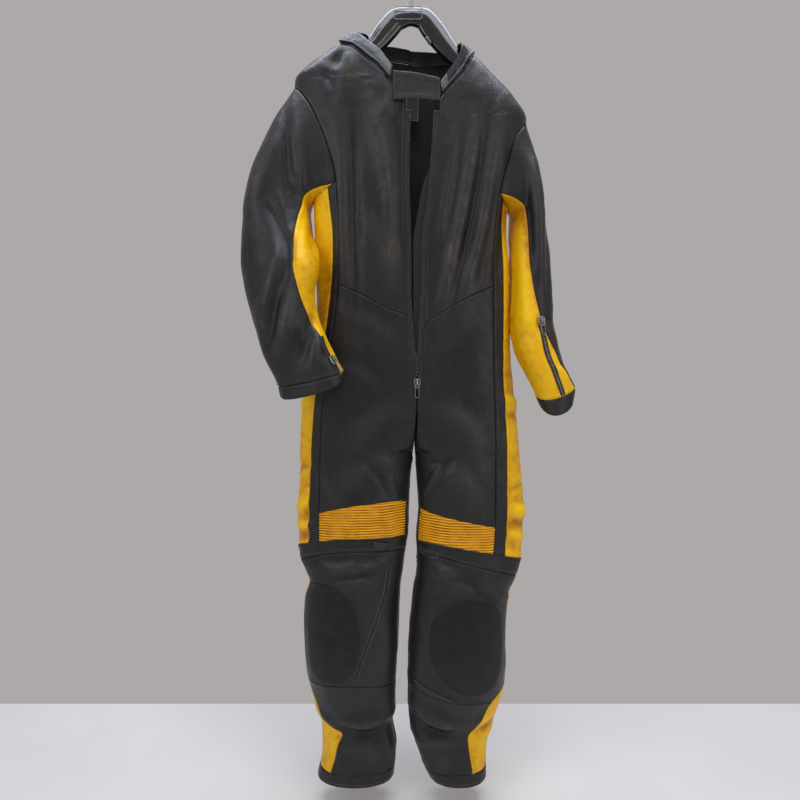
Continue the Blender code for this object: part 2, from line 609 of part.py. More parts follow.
def add_back():
    """The upper back, one piece from side to side, and the seat below it in two halves."""
    halves = []
    for side in (RIGHT, LEFT):
        def upper(z, side=side):
            return side_edge(side, z, "behind"), 1 + 0 * z

        halves.append(patch_grid(side, upper, level(WAIST_Z), seam(NECKLINE[side]), 7, 11))
        grid = patch_grid(side, lambda z, side=side: (seam_place(side, z, "behind"), 1 + 0 * z),
                          level(foot(side)), level(WAIST_Z), 4, 13)
        cloth(f"seat_{SIDES[side]}", stop_short(grid))
    right, left = halves
    cloth("back", stop_short(np.concatenate([right, left[:, -2::-1]], axis=1)))


def foot(side):
    """Height at which the pieces above the knee end behind the knee band."""
    return BAND_TOP[side][-1][1]


def add_sides(side):
    """The narrow black strip and the yellow side, from the armpit to the knee band."""
    def strip(z):
        return seam_place(side, z, "strip"), seam_place(side, z, "yellow")

    def yellow(z):
        return seam_place(side, z, "yellow"), seam_place(side, z, "behind")

    def rim(place):
        return rim_height(side, place)

    name = SIDES[side]
    grid = patch_grid(side, strip, seam(BAND_TOP[side]), rim, 1, 15)
    cloth(f"side_strip_{name}", stop_short(grid))
    grid = patch_grid(side, yellow, level(SIDE_SPLIT_Z), rim, 3, 7)
    cloth(f"side_{name}", stop_short(grid), "yellow leather")
    grid = patch_grid(side, yellow, seam(BAND_TOP[side]), level(SIDE_SPLIT_Z), 3, 11)
    cloth(f"thigh_side_{name}", stop_short(grid), "yellow leather")


# ---------------------------------------------------------------- legs
def add_leg(side):
    """Trouser front, ribbed panel, knee band, knee, shin, calf, leg back, inseam and hem."""
    name = SIDES[side]

    def thigh(z):
        return inseam_reach(side, z), seam_place(side, z, "strip")

    def band(z):
        return inseam_reach(side, z), BAND_END + 0 * z

    def below_knee(z):
        return inseam_reach(side, z), column(CALF[side], CALF_COLUMNS, "yellow", z)

    def calf(z):
        return below_knee(z)[1], BAND_END + 0 * z

    shin = patch_grid(side, below_knee, level(HEM_TOP_Z), seam(KNEE_BOTTOM[side]), 6, 6)
    knee = patch_grid(side, below_knee, seam(KNEE_BOTTOM[side]), seam(BAND_BOTTOM[side]), 7, 8)
    wide_band = patch_grid(side, band, seam(BAND_BOTTOM[side]), seam(BAND_TOP[side]), 8, 1)
    ribbed = patch_grid(side, thigh, seam(BAND_TOP[side]), seam(RIB_TOP[side]), 6, 2)
    trouser = patch_grid(side, thigh, seam(RIB_TOP[side]), seam(WAIST_SEAM[side]), 6, 11)
    cloth(f"shin_{name}", stop_short(shin))
    cloth(f"knee_{name}", stop_short(knee))
    cloth(f"knee_band_{name}", stop_short(wide_band))
    cloth(f"ribbed_{name}", stop_short(ribbed), "yellow ribbed stretch leather")
    cloth(f"trouser_front_{name}", stop_short(trouser))
    add_knee_pad(side, knee)

    heights = np.concatenate([shin[:, -1, 2], knee[1:, -1, 2]])
    outer_calf = patch_grid(side, calf, level(HEM_TOP_Z), seam(BAND_BOTTOM[side]), 3,
                            shares(heights))
    cloth(f"calf_side_{name}", stop_short(outer_calf), "yellow leather")
    heights = np.append(outer_calf[:, -1, 2], foot(side))
    leg_back = patch_grid(side, lambda z: (BAND_END + 0 * z, 1 + 0 * z), level(HEM_TOP_Z),
                          level(foot(side)), 4, shares(heights))
    cloth(f"leg_back_{name}", stop_short(leg_back))

    heights = np.concatenate([shin[:, 0, 2]] + [grid[1:, 0, 2] for grid in
                                                (knee, wide_band, ribbed, trouser)])
    heights = heights[heights < CROTCH_Z - 0.02]
    inseam = patch_grid(side, lambda z: (0 * z, inseam_reach(side, z)), level(HEM_TOP_Z),
                        level(heights[-1]), 1, shares(heights))
    cloth(f"inseam_{name}", stop_short(inseam, 2 * SEAM))

    around = np.linspace(0, 1, HEM_POINTS, endpoint=False)[None, :]
    ring = body_point(side, around, np.array([[HEM_Z], [HEM_TOP_Z]]))
    cloth(f"hem_{name}", stop_short(ring, 2 * SEAM, "u"), ring=True)


def add_knee_pad(side, knee):
    """The rounded hook-and-loop pad, made from the knee's own points and moved out."""
    behind_knee = knee.mean(axis=(0, 1)) + np.array([0, 0.08, 0])
    pad = moved_out(knee, LEATHER + PAD_LIFT, behind_knee)
    (low, high), (first, last) = PAD_ROWS[side], PAD_COLUMNS[side]
    cloth(f"knee_pad_{SIDES[side]}", pad[low:high + 1, first:last + 1], "hook and loop",
          trimmed=True)


# ---------------------------------------------------------------- sleeves
def add_sleeve(side):
    """Black outer sleeve, yellow inner sleeve and the cuff band."""
    name = SIDES[side]
    rows = np.linspace(0, CUFF_ROW, 13)[:, None]
    marks = np.radians(INNER_SLEEVE[side])
    front = curve(list(enumerate(marks[:, 0])), rows)
    back = curve(list(enumerate(marks[:, 1])), rows)

    def piece(first, last, columns):
        share = np.linspace(0, 1, columns + 1)[None, :]
        return stop_short(sewn_sleeve_point(side, first + (last - first) * share, rows), 2 * SEAM)

    cloth(f"sleeve_outer_{name}", piece(back - 2 * math.pi, front, 10))
    cloth(f"sleeve_inner_{name}", piece(front, back, 4), "yellow leather")
    around = np.linspace(0, 2 * math.pi, CUFF_POINTS, endpoint=False)[None, :]
    ring = sleeve_point(side, around, np.array([[CUFF_ROW], [CUFF_ROW + 1]], float))
    cloth(f"cuff_{name}", stop_short(ring, 2 * SEAM, "d"), ring=True)


# ---------------------------------------------------------------- neck and closure
def add_collar():
    """Stand collar, its piping, the closure tab, the hook patch and the neck label."""
    up = np.array(COLLAR_RINGS)[:, None]
    front = np.linspace(0, 0.5, 9)
    back = np.linspace(0.5, 1, 8)
    right = collar_point(RIGHT, np.concatenate([front[2:], back[1:]])[None, :], up)
    left = collar_point(LEFT, np.concatenate([front[1:], back[1:]])[None, -2::-1], up)
    grid = np.concatenate([right, left], axis=1)
    cloth("collar", grid)
    piping = moved_out(grid, LEATHER / 2 + PIPING_RADIUS + 2 * LIFT, NECK_MIDDLE)
    tube("collar_piping", piping[1], PIPING_RADIUS, "black leather")

    share = np.linspace(0, 1, 7)[None, :]
    height = np.array([[0.0], [0.5], [1.0]])
    x = TAB["x"] + TAB["width"] * share + 0 * height
    bottom = TAB["bottom"] + TAB["drop"] * share
    z = bottom + (TAB["tall"] + TAB["taper"] * share) * height
    y = TAB["y"] - TAB["bulge"] * np.sin(math.pi * share) + 0 * z
    cloth("closure_tab", np.stack([x, y, z], axis=-1))

    patch = moved_out(grid, LEATHER + LIFT, NECK_MIDDLE)[2:, -4:-1]
    cloth("hook_patch", stop_short(patch, HOOK_PATCH["inset"]), "hook and loop",
          thick=HOOK_PATCH["thick"])

    label = box("neck_label", LABEL["size"], LABEL["place"], "lining label")
    label.rotation_euler = (math.radians(LABEL["tilt"]), 0, 0)


def box(name, size, place, finish):
    """A plain block of the given size, centred on its place."""
    bpy.ops.mesh.primitive_cube_add(size=1, location=place)
    made = bpy.context.object
    made.name = made.data.name = name
    made.scale = size
    bpy.ops.object.transform_apply(location=False, rotation=False, scale=True)
    made.data.materials.append(material(finish))
    for collection in list(made.users_collection):
        collection.objects.unlink(made)
    SUIT.objects.link(made)
    return made


def tube(name, points, radius, finish, resolution=1):
    """A round cord along points, with closed ends."""
    data = bpy.data.curves.new(name, "CURVE")
    data.dimensions = "3D"
    data.bevel_depth = radius
    data.bevel_resolution = resolution
    data.use_fill_caps = True
    spline = data.splines.new("POLY")
    spline.points.add(len(points) - 1)
    for point, place in zip(spline.points, points):
        point.co = (*place, 1)
    made = bpy.data.objects.new(name, data)
    data.materials.append(material(finish))
    SUIT.objects.link(made)
    return made


def edge_x(side, z):
    """x of the front edge of one side."""
    return column(BODY[side], BODY_COLUMNS, "edge", z)


def add_front_zip():
    """Zip tapes along both open edges, the wind flap behind them and the slider."""
    for side in (RIGHT, LEFT):
        bottom = ZIP_BOTTOM_Z + TAPE["above_slider"]
        z = np.linspace(bottom, NECKLINE[side][0][1] - TAPE["below_neck"], 14)[:, None]
        edge = edge_x(side, z)
        gap = edge_x(LEFT, z) - edge_x(RIGHT, z)
        width = np.minimum(TAPE["width"], gap / 2 - TAPE["thick"])
        x = edge - side * (TAPE["from_edge"] + width * np.array([[0.0, 1.0]]))
        y = TAPE["behind_edge"] - column(BODY[side], BODY_COLUMNS, "front", z) + 0 * x
        cloth(f"zip_tape_{SIDES[side]}", np.stack([x, y, z + 0 * x], axis=-1),
              "woven zip tape", thick=TAPE["thick"])
    z = np.linspace(FLAP_EDGE[-1][0], FLAP_EDGE[0][0], 13)[:, None]
    inner = curve(FLAP_EDGE, z)
    outer = edge_x(LEFT, z) + FLAP["under_edge"]
    share = np.linspace(0, 1, 4)[None, :]
    x = inner + (outer - inner) * share
    y = FLAP["behind"] + FLAP["lean"] * share - column(BODY[LEFT], BODY_COLUMNS, "front", z)
    cloth("wind_flap", np.stack([x, y, z + 0 * x], axis=-1))

    middle = (edge_x(LEFT, ZIP_BOTTOM_Z) + edge_x(RIGHT, ZIP_BOTTOM_Z)) / 2
    front_y = -float(column(BODY[LEFT], BODY_COLUMNS, "front", ZIP_BOTTOM_Z))
    add_slider("zip", (float(middle), front_y - LIFT, ZIP_BOTTOM_Z), (0, 0, -1), (0, -1, 0))


def add_slider(name, place, run, outward):
    """A slider body, and the pull tab that hangs over it from the slider's bridge.

    run points along the zip towards the tab's free end; outward leaves the cloth.
    """
    down = Vector(run).normalized()
    out = (Vector(outward) - down * down.dot(Vector(outward))).normalized()
    turn = Matrix((out.cross(down), -out, -down)).transposed().to_4x4()
    width, height, depth = SLIDER["width"], SLIDER["height"], SLIDER["depth"]
    body = box(f"{name}_slider", (width, depth, height), (0, 0, 0), "zip metal")
    round_edges = body.modifiers.new("rounded edges", "BEVEL")
    round_edges.width = 0.0010
    round_edges.segments = 1
    middle = Vector(place) + out * (LEATHER / 2 + depth / 2 + LIFT)
    body.matrix_world = Matrix.Translation(middle) @ turn

    pull_y = -(depth / 2 + PULL["thick"] / 2 + LIFT)
    pivot = middle + turn.to_3x3() @ Vector((0, pull_y, height * 0.28))
    tab = box(f"{name}_pull", (PULL["width"], PULL["thick"], PULL["length"]), (0, 0, 0),
              "zip metal")
    tab.data.transform(Matrix.Translation((0, 0, -PULL["length"] / 2 + PULL["eye"])))
    tab_edges = tab.modifiers.new("rounded edges", "BEVEL")
    tab_edges.width = 0.0006
    tab_edges.segments = 1
    tab.matrix_world = Matrix.Translation(pivot) @ turn


def add_cuff_zip(side):
    """The short zip of a cuff: slider and pull, lying on the sleeve."""
    row, angle = CUFF_ZIPS[side]["row"], math.radians(CUFF_ZIPS[side]["degrees"])
    here = sleeve_point(side, angle, row)
    run = sleeve_point(side, angle, row + 0.3) - here
    beside = sleeve_point(side, angle + 0.1, row) - here
    out = np.cross(run, beside)
    out *= np.sign(out @ (here - sleeve_point(side, angle + math.pi, row)))
    add_slider(f"cuff_zip_{SIDES[side]}", here, run, out)


# ---------------------------------------------------------------- hanger
def add_hanger():
    """The moulded hanger bar, the bare plate on it and the flat steel hook."""
    station = np.linspace(0, len(HANGER) - 1, HANGER_STATIONS)
    rows = [(k, *values) for k, values in enumerate(HANGER)]
    columns = ("row",) + HANGER_COLUMNS
    x, z, tall, deep = (column(rows, columns, name, station) for name in HANGER_COLUMNS)
    around = np.linspace(0, 2 * math.pi, 12, endpoint=False)
    c, s = round_off(around)
    slope = np.arctan2(np.gradient(z), np.gradient(x))
    lift = tall[:, None] * s[None, :] * np.cos(slope)[:, None]
    shift = -tall[:, None] * s[None, :] * np.sin(slope)[:, None]
    grid = np.stack([x[:, None] + shift, deep[:, None] * c[None, :], z[:, None] + lift], axis=-1)
    work = bmesh.new()
    rings = [[work.verts.new(p) for p in line] for line in grid]
    for lower, upper in zip(rings, rings[1:]):
        for k in range(len(lower)):
            work.faces.new((lower[k], lower[k - 1], upper[k - 1], upper[k]))
    work.faces.new(rings[0])
    work.faces.new(rings[-1][::-1])
    bmesh.ops.recalc_face_normals(work, faces=work.faces)
    mesh = bpy.data.meshes.new("hanger")
    work.to_mesh(mesh)
    work.free()
    mesh.shade_smooth()
    add_object("hanger", mesh, "hanger plastic")

    plate = box("hanger_plate", (PLATE["width"], PLATE["thick"], PLATE["height"]),
                (PLATE["x"], PLATE["y"], PLATE["z"]), "plate plastic")
    corners = plate.modifiers.new("round corners", "BEVEL")
    corners.width = 0.0007
    corners.segments = 1

    radius = HOOK["radius"] + HOOK["thick"] / 2
    crown = -HOOK["radius"]
    profile = [(0.0, HOOK["foot_z"]), *HOOK_NECK]
    for degrees in range(*HOOK_SWEEP):
        turn = math.radians(degrees)
        profile.append((-radius * math.cos(turn), crown + radius * math.sin(turn)))
    strip = np.array([[(w, y, z) for y, z in profile] for w in
                      np.linspace(-HOOK["width"] / 2, HOOK["width"] / 2, 2)])
    hook = add_object("hook", grid_mesh("hook", strip), "chromed steel")
    wall = hook.modifiers.new("steel thickness", "SOLIDIFY")
    wall.thickness = HOOK["thick"]
    wall.offset = 0
    wall.use_even_offset = True


# ---------------------------------------------------------------- build
for old in list(bpy.data.objects):
    bpy.data.objects.remove(old, do_unlink=True)

SUIT = bpy.data.collections.new("motorcycle race suit")
bpy.context.scene.collection.children.link(SUIT)

add_back()
for wearer_side in (RIGHT, LEFT):
    add_front(wearer_side)
    add_sides(wearer_side)
    add_leg(wearer_side)
    add_sleeve(wearer_side)
add_collar()
add_front_zip()
add_cuff_zip(LEFT)
add_cuff_zip(RIGHT)
add_hanger()
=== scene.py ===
# %% [markdown]
# # A leather motorcycle race suit on its hanger
#
# A race suit is cut from flat pieces of cowhide about 1.4 mm thick, sewn edge to edge and
# stitched again along the seams. Hung up empty it keeps most of its shape, because the
# leather is stiff: it falls in long soft ridges and creases only where a body would bend it.
#
# The lesson builds each cut piece the way a pattern maker sees it, as a sheet that runs from
# seam to seam. The seams come from short tables of heights and widths. Relief is added to
# the sheets by listed creases, and everything that is sewn on follows the same surface.

# %% Load the frame
import math
import bmesh
import bpy
import numpy as np
from mathutils import Matrix, Vector, noise


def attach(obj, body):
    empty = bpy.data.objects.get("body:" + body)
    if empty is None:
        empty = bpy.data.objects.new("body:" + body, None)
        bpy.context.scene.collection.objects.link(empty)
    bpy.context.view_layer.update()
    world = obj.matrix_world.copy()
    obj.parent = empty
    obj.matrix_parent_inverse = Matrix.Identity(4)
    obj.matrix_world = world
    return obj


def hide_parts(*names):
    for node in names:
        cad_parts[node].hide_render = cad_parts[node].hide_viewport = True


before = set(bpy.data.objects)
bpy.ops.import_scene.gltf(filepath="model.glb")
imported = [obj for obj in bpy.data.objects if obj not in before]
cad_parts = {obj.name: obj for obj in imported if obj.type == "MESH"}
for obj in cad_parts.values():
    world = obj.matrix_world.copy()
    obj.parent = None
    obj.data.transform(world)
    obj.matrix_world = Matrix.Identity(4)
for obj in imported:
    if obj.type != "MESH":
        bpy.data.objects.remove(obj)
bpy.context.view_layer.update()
RIGHT, LEFT = -1, 1                      # the wearer's right is -X
SIDES = {RIGHT: "right", LEFT: "left"}

# %% [markdown]
# ## The camera
#
# The suit is seen from the front at the height of its waist, by a short lens that stands
# close, so the hook and the hems are both seen at a slant. The lens looks a little down.

# %% Camera
CAMERA_PLACE = (-0.022, -1.250, -0.760)
CAMERA_TILT = 84.7                       # degrees from straight down
LENS_MM, SENSOR_MM = 26.19, 36.0

camera_data = bpy.data.cameras.new("camera")
camera_data.lens = LENS_MM
camera_data.sensor_width = SENSOR_MM
camera = bpy.data.objects.new("camera", camera_data)
camera.location = CAMERA_PLACE
camera.rotation_euler = (math.radians(CAMERA_TILT), 0, 0)
bpy.context.scene.collection.objects.link(camera)
bpy.context.scene.camera = camera

# %% [markdown]
# ## The pattern tables
#
# These are the suit's real sizes. Each half has its own tables, because the suit hangs
# unevenly: one shoulder is higher and one leg is turned. The long tables are written in
# millimetres. A row is one level section of the trunk or leg: where its edges lie, how far
# it reaches and how deep it is.

# %% Sections of the trunk and legs
def metres(rows, shares=0):
    """Rows of millimetres turned to metres, but for their last columns, which are shares."""
    scale = [1000] * (len(rows[0]) - shares) + [1] * shares
    return tuple(tuple(v / k for v, k in zip(row, scale)) for row in rows)


BODY_COLUMNS = ("z", "edge", "spine", "out", "mid", "front", "back", "flat")
BODY = {
    RIGHT: (
        (-135, -12, 0, -78, 0, 46, 46, 1), (-156, -12, 0, -120, 0, 52, 50, 1),
        (-163, -12, 0, -157, 0, 55, 52, 1), (-176, -12, 0, -178, 0, 58, 53, 1),
        (-197, -12, 0, -210, 0, 62, 55, 1), (-224, -12, 0, -236, 0, 66, 57, 1),
        (-280, -12, 0, -238, 0, 69, 60, 1), (-360, -14, 0, -224, 0, 70, 61, 1),
        (-430, -15, 0, -204, 0, 68, 60, 1), (-540, -11, 0, -194, 0, 64, 56, 1),
        (-660, -10, 0, -196, 0, 60, 56, 1), (-764, -2, 0, -211, 0, 60, 62, 1),
        (-832, 11.5, 0, -224, 0, 62, 68, 1), (-900, 11, 3, -233, 0, 64, 72, 0.92),
        (-950, 8.5, 5, -236, -1, 66, 73, 0.7), (-975, 6.8, 6, -237, -2, 66, 72, 0.38),
        (-985, 6.2, 6.2, -238, -2, 66, 71, 0), (-1051, 0, 0, -239, -6, 65, 69, 0),
        (-1107, -3, -3, -243, -11, 62, 64, 0), (-1164, -5, -5, -242, -17, 60, 58, 0),
        (-1209, -11, -11, -239, -22, 61, 54, 0), (-1240, -15, -15, -226, -26, 62, 50, 0),
        (-1261, -19, -19, -218, -28, 63, 48, 0), (-1291, -21, -21, -225, -28, 67, 48, 0),
        (-1333, -23, -23, -229, -27, 71, 50, 0), (-1391, -25, -25, -231, -24, 73, 52, 0),
        (-1449, -29, -29, -230, -20, 69, 52, 0), (-1516, -31, -31, -219, -13, 60, 49, 0),
        (-1568, -31, -31, -210, -6, 53, 46, 0), (-1600, -37, -37, -199, -1, 48, 43, 0),
        (-1655, -30, -30, -199, 3, 47, 42, 0), (-1736, -37, -37, -211, 5, 52, 45, 0),
    ),
    LEFT: (
        (-135, 58, 0, 70, 0, 46, 46, 1), (-156, 58, 0, 98, 0, 50, 48, 1),
        (-177, 58, 0, 124, 0, 55, 51, 1), (-203, 57, 0, 154, 0, 60, 54, 1),
        (-232, 56, 0, 186, 0, 64, 56, 1), (-268, 55, 0, 216, 0, 67, 58, 1),
        (-302, 55, 0, 236, 0, 69, 60, 1), (-360, 52, 0, 234, 0, 70, 61, 1),
        (-460, 44, 0, 205, 0, 67, 60, 1), (-545, 33, 0, 199, 0, 64, 57, 1),
        (-660, 30, 0, 202, 0, 60, 56, 1), (-764, 26, 0, 211, 0, 60, 62, 1),
        (-832, 14.5, 0, 219, 0, 62, 68, 1), (-900, 14, 6, 229, 0, 64, 72, 0.92),
        (-950, 11.5, 8, 233, -1, 66, 73, 0.7), (-975, 10.2, 9.6, 236, -2, 66, 72, 0.38),
        (-985, 10, 10, 237, -2, 66, 71, 0), (-1034, 14, 14, 241, -5, 65, 70, 0),
        (-1107, 19, 19, 247, -11, 62, 65, 0), (-1177, 14, 14, 241, -18, 60, 59, 0),
        (-1220, 14, 14, 238, -23, 61, 53, 0), (-1250, 12, 12, 230, -26, 62, 50, 0),
        (-1284, 6, 6, 215, -28, 65, 48, 0), (-1354, 0, 0, 208, -26, 72, 50, 0),
        (-1400, -3, -3, 208, -24, 73, 52, 0), (-1449, -4, -4, 210, -20, 70, 52, 0),
        (-1508, -4, -4, 206, -14, 62, 50, 0), (-1568, -4, -4, 195, -6, 53, 47, 0),
        (-1623, 2, 2, 183, 1, 47, 44, 0), (-1655, 14, 14, 176, 3, 46, 43, 0),
        (-1708, 33, 33, 175, 5, 50, 44, 0), (-1736, 46, 46, 175, 5, 52, 45, 0),
    ),
}
BODY = {side: metres(rows, 1) for side, rows in BODY.items()}
SQUARE = 2.25                            # exponent of the sections: 2 is an ellipse

# %% [markdown]
# Seams are written the way they run on the suit. A long seam gives a place for each height,
# and a cross seam a height for each place round the section: 0 is the front's middle, 0.5
# the side and 1 the back's middle.

# %% Seams
NECKLINE = {
    RIGHT: ((0.00, -0.288), (0.07, -0.273), (0.125, -0.248), (0.18, -0.212), (0.33, -0.172),
            (0.50, -0.155), (0.70, -0.156), (1.00, -0.166)),
    LEFT: ((0.00, -0.290), (0.10, -0.266), (0.165, -0.243), (0.26, -0.210), (0.36, -0.190),
           (0.50, -0.176), (0.70, -0.168), (1.00, -0.166)),
}

# The armhole: heights of the shoulder point, of the corners where its front and back edges
# meet the lower rim, and of the rim's lowest point.
ARMHOLE_COLUMNS = ("top", "corner", "bottom")
ARMHOLE = {
    RIGHT: dict(zip(ARMHOLE_COLUMNS, (-0.232, -0.436, -0.460))),
    LEFT: dict(zip(ARMHOLE_COLUMNS, (-0.302, -0.455, -0.476))),
}
CORNER_ANGLE = math.radians(128)   # the corners' place round the sleeve, from its top

# Long seams: x of the front seam of the narrow black side strip, which is the armhole's
# front edge above its corner; x of the seam between that strip and the yellow side; and
# the place round the section (0.5 is the side) of the yellow's back seam, which is the
# armhole's back edge above its corner.
SEAM_COLUMNS = ("z", "strip", "yellow", "behind")
SEAMS = {
    RIGHT: (
        (-232, -240, -166, 0.5), (-280, -204, -166, 0.575), (-330, -180, -166, 0.61),
        (-388, -159, -166, 0.615), (-436, -149, -166, 0.595), (-545, -143, -157, 0.58),
        (-690, -155, -170, 0.58), (-800, -171, -188, 0.58), (-900, -184, -202, 0.58),
        (-1040, -190, -211, 0.58), (-1182, -192, -216, 0.6), (-1240, -182, -205, 0.6),
    ),
    LEFT: (
        (-302, 240, 187, 0.5), (-345, 209, 187, 0.575), (-397, 194, 187, 0.61),
        (-455, 176, 190, 0.59), (-545, 168, 187, 0.58), (-674, 170, 190, 0.58),
        (-830, 172, 193, 0.58), (-900, 175, 198, 0.58), (-1000, 177, 202, 0.58),
        (-1124, 176, 202, 0.58), (-1200, 172, 197, 0.6), (-1240, 168, 193, 0.6),
    ),
}
SEAMS = {side: metres(rows, 1) for side, rows in SEAMS.items()}

# Lower leg, from the knee band down: place round the section of the yellow calf's front
# seam and back seam.
CALF_COLUMNS = ("z", "yellow", "behind")
CALF = {
    RIGHT: (
        (-1.170, 0.46, 0.60), (-1.240, 0.45, 0.60), (-1.285, 0.47, 0.60), (-1.330, 0.51, 0.60),
        (-1.450, 0.50, 0.60), (-1.500, 0.44, 0.60), (-1.580, 0.385, 0.60), (-1.610, 0.31, 0.60),
        (-1.640, 0.335, 0.60), (-1.736, 0.37, 0.60),
    ),
    LEFT: (
        (-1.170, 0.46, 0.60), (-1.240, 0.45, 0.60), (-1.290, 0.445, 0.60), (-1.330, 0.47, 0.60),
        (-1.400, 0.50, 0.60), (-1.470, 0.50, 0.60), (-1.530, 0.375, 0.60), (-1.590, 0.34, 0.60),
        (-1.615, 0.31, 0.60), (-1.650, 0.32, 0.60), (-1.736, 0.335, 0.60),
    ),
}

# Cross seams of each half: height at each place round the section.
WAIST_SEAM = {
    RIGHT: ((0.00, -0.700), (0.12, -0.690), (0.25, -0.655), (0.42, -0.612)),
    LEFT: ((0.00, -0.725), (0.12, -0.700), (0.25, -0.662), (0.42, -0.625)),
}
RIB_TOP = {
    RIGHT: ((0.00, -1.098), (0.13, -1.084), (0.25, -1.092), (0.42, -1.122)),
    LEFT: ((0.00, -1.102), (0.13, -1.112), (0.25, -1.127), (0.42, -1.152)),
}
BAND_TOP = {
    RIGHT: ((0.00, -1.166), (0.13, -1.160), (0.25, -1.160), (0.40, -1.176), (0.52, -1.196)),
    LEFT: ((0.00, -1.176), (0.13, -1.174), (0.25, -1.184), (0.40, -1.206), (0.52, -1.222)),
}
BAND_BOTTOM = {
    RIGHT: ((0.00, -1.198), (0.13, -1.188), (0.25, -1.186), (0.40, -1.204), (0.52, -1.222)),
    LEFT: ((0.00, -1.198), (0.13, -1.198), (0.25, -1.214), (0.40, -1.240), (0.52, -1.254)),
}
KNEE_BOTTOM = {
    RIGHT: ((0.00, -1.500), (0.13, -1.486), (0.25, -1.476), (0.46, -1.480)),
    LEFT: ((0.00, -1.480), (0.13, -1.500), (0.25, -1.520), (0.46, -1.530)),
}
BAND_END = 0.60                          # the knee band's back end, behind the side
SIDE_SPLIT_Z = -0.750                    # where the yellow side is pieced
CROTCH_Z, WAIST_Z, HEM_TOP_Z, HEM_Z = -0.985, -0.660, -1.708, -1.736
INSEAM_REACH = {RIGHT: 0.062, LEFT: 0.040}


# %% [markdown]
# A sleeve is a tube that hangs from the armhole. Each row gives its outer and its inner
# point, half its depth and how far its front hangs below its back.

# %% Sleeves
SLEEVE_COLUMNS = ("ox", "oy", "oz", "ix", "iy", "iz", "deep", "dip")
SLEEVE = {
    RIGHT: (
        (-236, 0, -232, -204, 0, -456, 52, 0), (-283, -4, -310, -213, -8, -490, 60, 0),
        (-318, -8, -400, -206, -32, -530, 56, 0), (-340, -14, -490, -188, -70, -572, 48, 0),
        (-343, -22, -580, -183, -98, -608, 46, 0), (-330, -34, -655, -196, -104, -662, 46, 0),
        (-308, -52, -722, -182, -116, -720, 44, 0), (-288, -70, -780, -154, -128, -774, 38, 3),
        (-262, -88, -838, -133, -138, -812, 32, 6), (-256, -92, -858, -130, -140, -828, 31, 14),
    ),
    LEFT: (
        (236, 0, -302, 205, 0, -474, 52, 0), (255, -2, -390, 213, -6, -500, 62, 0),
        (269, -6, -480, 211, -14, -530, 64, 0), (282, -10, -560, 210, -20, -580, 62, 0),
        (287, -16, -635, 211, -26, -640, 60, 0), (289, -26, -700, 208, -40, -710, 56, 0),
        (300, -40, -758, 214, -56, -768, 50, 0), (314, -52, -806, 238, -70, -822, 43, 2),
        (331, -60, -840, 258, -76, -866, 36, 6), (326, -62, -862, 266, -78, -888, 35, 18),
    ),
}
SLEEVE = {side: metres(rows) for side, rows in SLEEVE.items()}
CUFF_ROW = 8             # the cuff band is the last row of the sleeve tables

# The yellow inner piece of each sleeve: its front and back seams, in degrees round the
# section from the outer point over the front, at each row of the sleeve table.
INNER_SLEEVE = {
    RIGHT: ((132, 200), (140, 222), (136, 238), (128, 245), (128, 245),
            (150, 240), (166, 235), (168, 230), (170, 225)),
    LEFT: ((130, 210), (130, 225), (128, 238), (124, 245), (112, 250),
           (92, 250), (72, 245), (55, 240), (34, 235)),
}


# %% [markdown]
# ## Curves and surfaces
#
# A table has few rows, so a curve has to pass through them smoothly and never overshoot,
# or the cloth would bulge between them. A cubic whose slopes are the harmonic mean of the
# slopes on both sides does that.

# %% Curves through tables
def curve(points, at):
    """A smooth curve through (place, value) points that never overshoots them."""
    place, value = np.array(sorted(points), float).T
    at = np.clip(np.asarray(at, float), place[0], place[-1])
    step = np.diff(place)
    slope = np.diff(value) / step
    inner = np.where(slope[:-1] * slope[1:] > 0,
                     2 * slope[:-1] * slope[1:] / np.where(slope[:-1] + slope[1:] == 0, 1,
                                                           slope[:-1] + slope[1:]), 0)
    tangent = np.concatenate([slope[:1], inner, slope[-1:]])
    k = np.clip(np.searchsorted(place, at, side="right") - 1, 0, len(step) - 1)
    t = (at - place[k]) / step[k]
    start = value[k] * (1 + 2 * t) * (1 - t) ** 2 + tangent[k] * step[k] * t * (1 - t) ** 2
    end = value[k + 1] * t * t * (3 - 2 * t) + tangent[k + 1] * step[k] * t * t * (t - 1)
    return start + end


def column(rows, columns, name, at):
    """One named column of a table, as a curve over its first column."""
    k = columns.index(name)
    return curve([(row[0], row[k]) for row in rows], at)


def round_off(angle):
    """Cosine and sine of an angle, pushed out to a slightly square section."""
    c, s = np.cos(angle), np.sin(angle)
    grow = (np.abs(c) ** SQUARE + np.abs(s) ** SQUARE) ** (-1 / SQUARE)
    return c * grow, s * grow


# %% [markdown]
# Every place on the trunk or a leg is given by a side, a place round the section and a
# height. The section is a slightly square ellipse, which is what flat leather makes when it
# is bent round a frame.

# %% The body's surface
def body_point(side, u, z):
    """The point at a place round the section: 0 front middle, 0.5 side, 1 back middle."""
    u, z = np.broadcast_arrays(np.asarray(u, float), np.asarray(z, float))
    get = {name: column(BODY[side], BODY_COLUMNS, name, z) for name in BODY_COLUMNS[1:]}
    front = u <= 0.5
    inner = np.where(front, get["edge"], get["spine"])
    depth = np.where(front, -get["front"], get["back"])
    apex = (inner + get["out"]) / 2
    arc = np.where(front, u, 1 - u) * 4
    near_c, near_s = round_off(np.clip(arc, 0, 1) * math.pi / 2)
    far_c, far_s = round_off(np.clip(arc - 1, 0, 1) * math.pi / 2)
    near = arc < 1
    x = np.where(near, apex - (apex - inner) * near_c, apex + (get["out"] - apex) * far_s)
    deep = np.where(near, get["flat"] + (1 - get["flat"]) * near_s, far_c)
    return np.stack([x, get["mid"] + depth * deep, z], axis=-1)


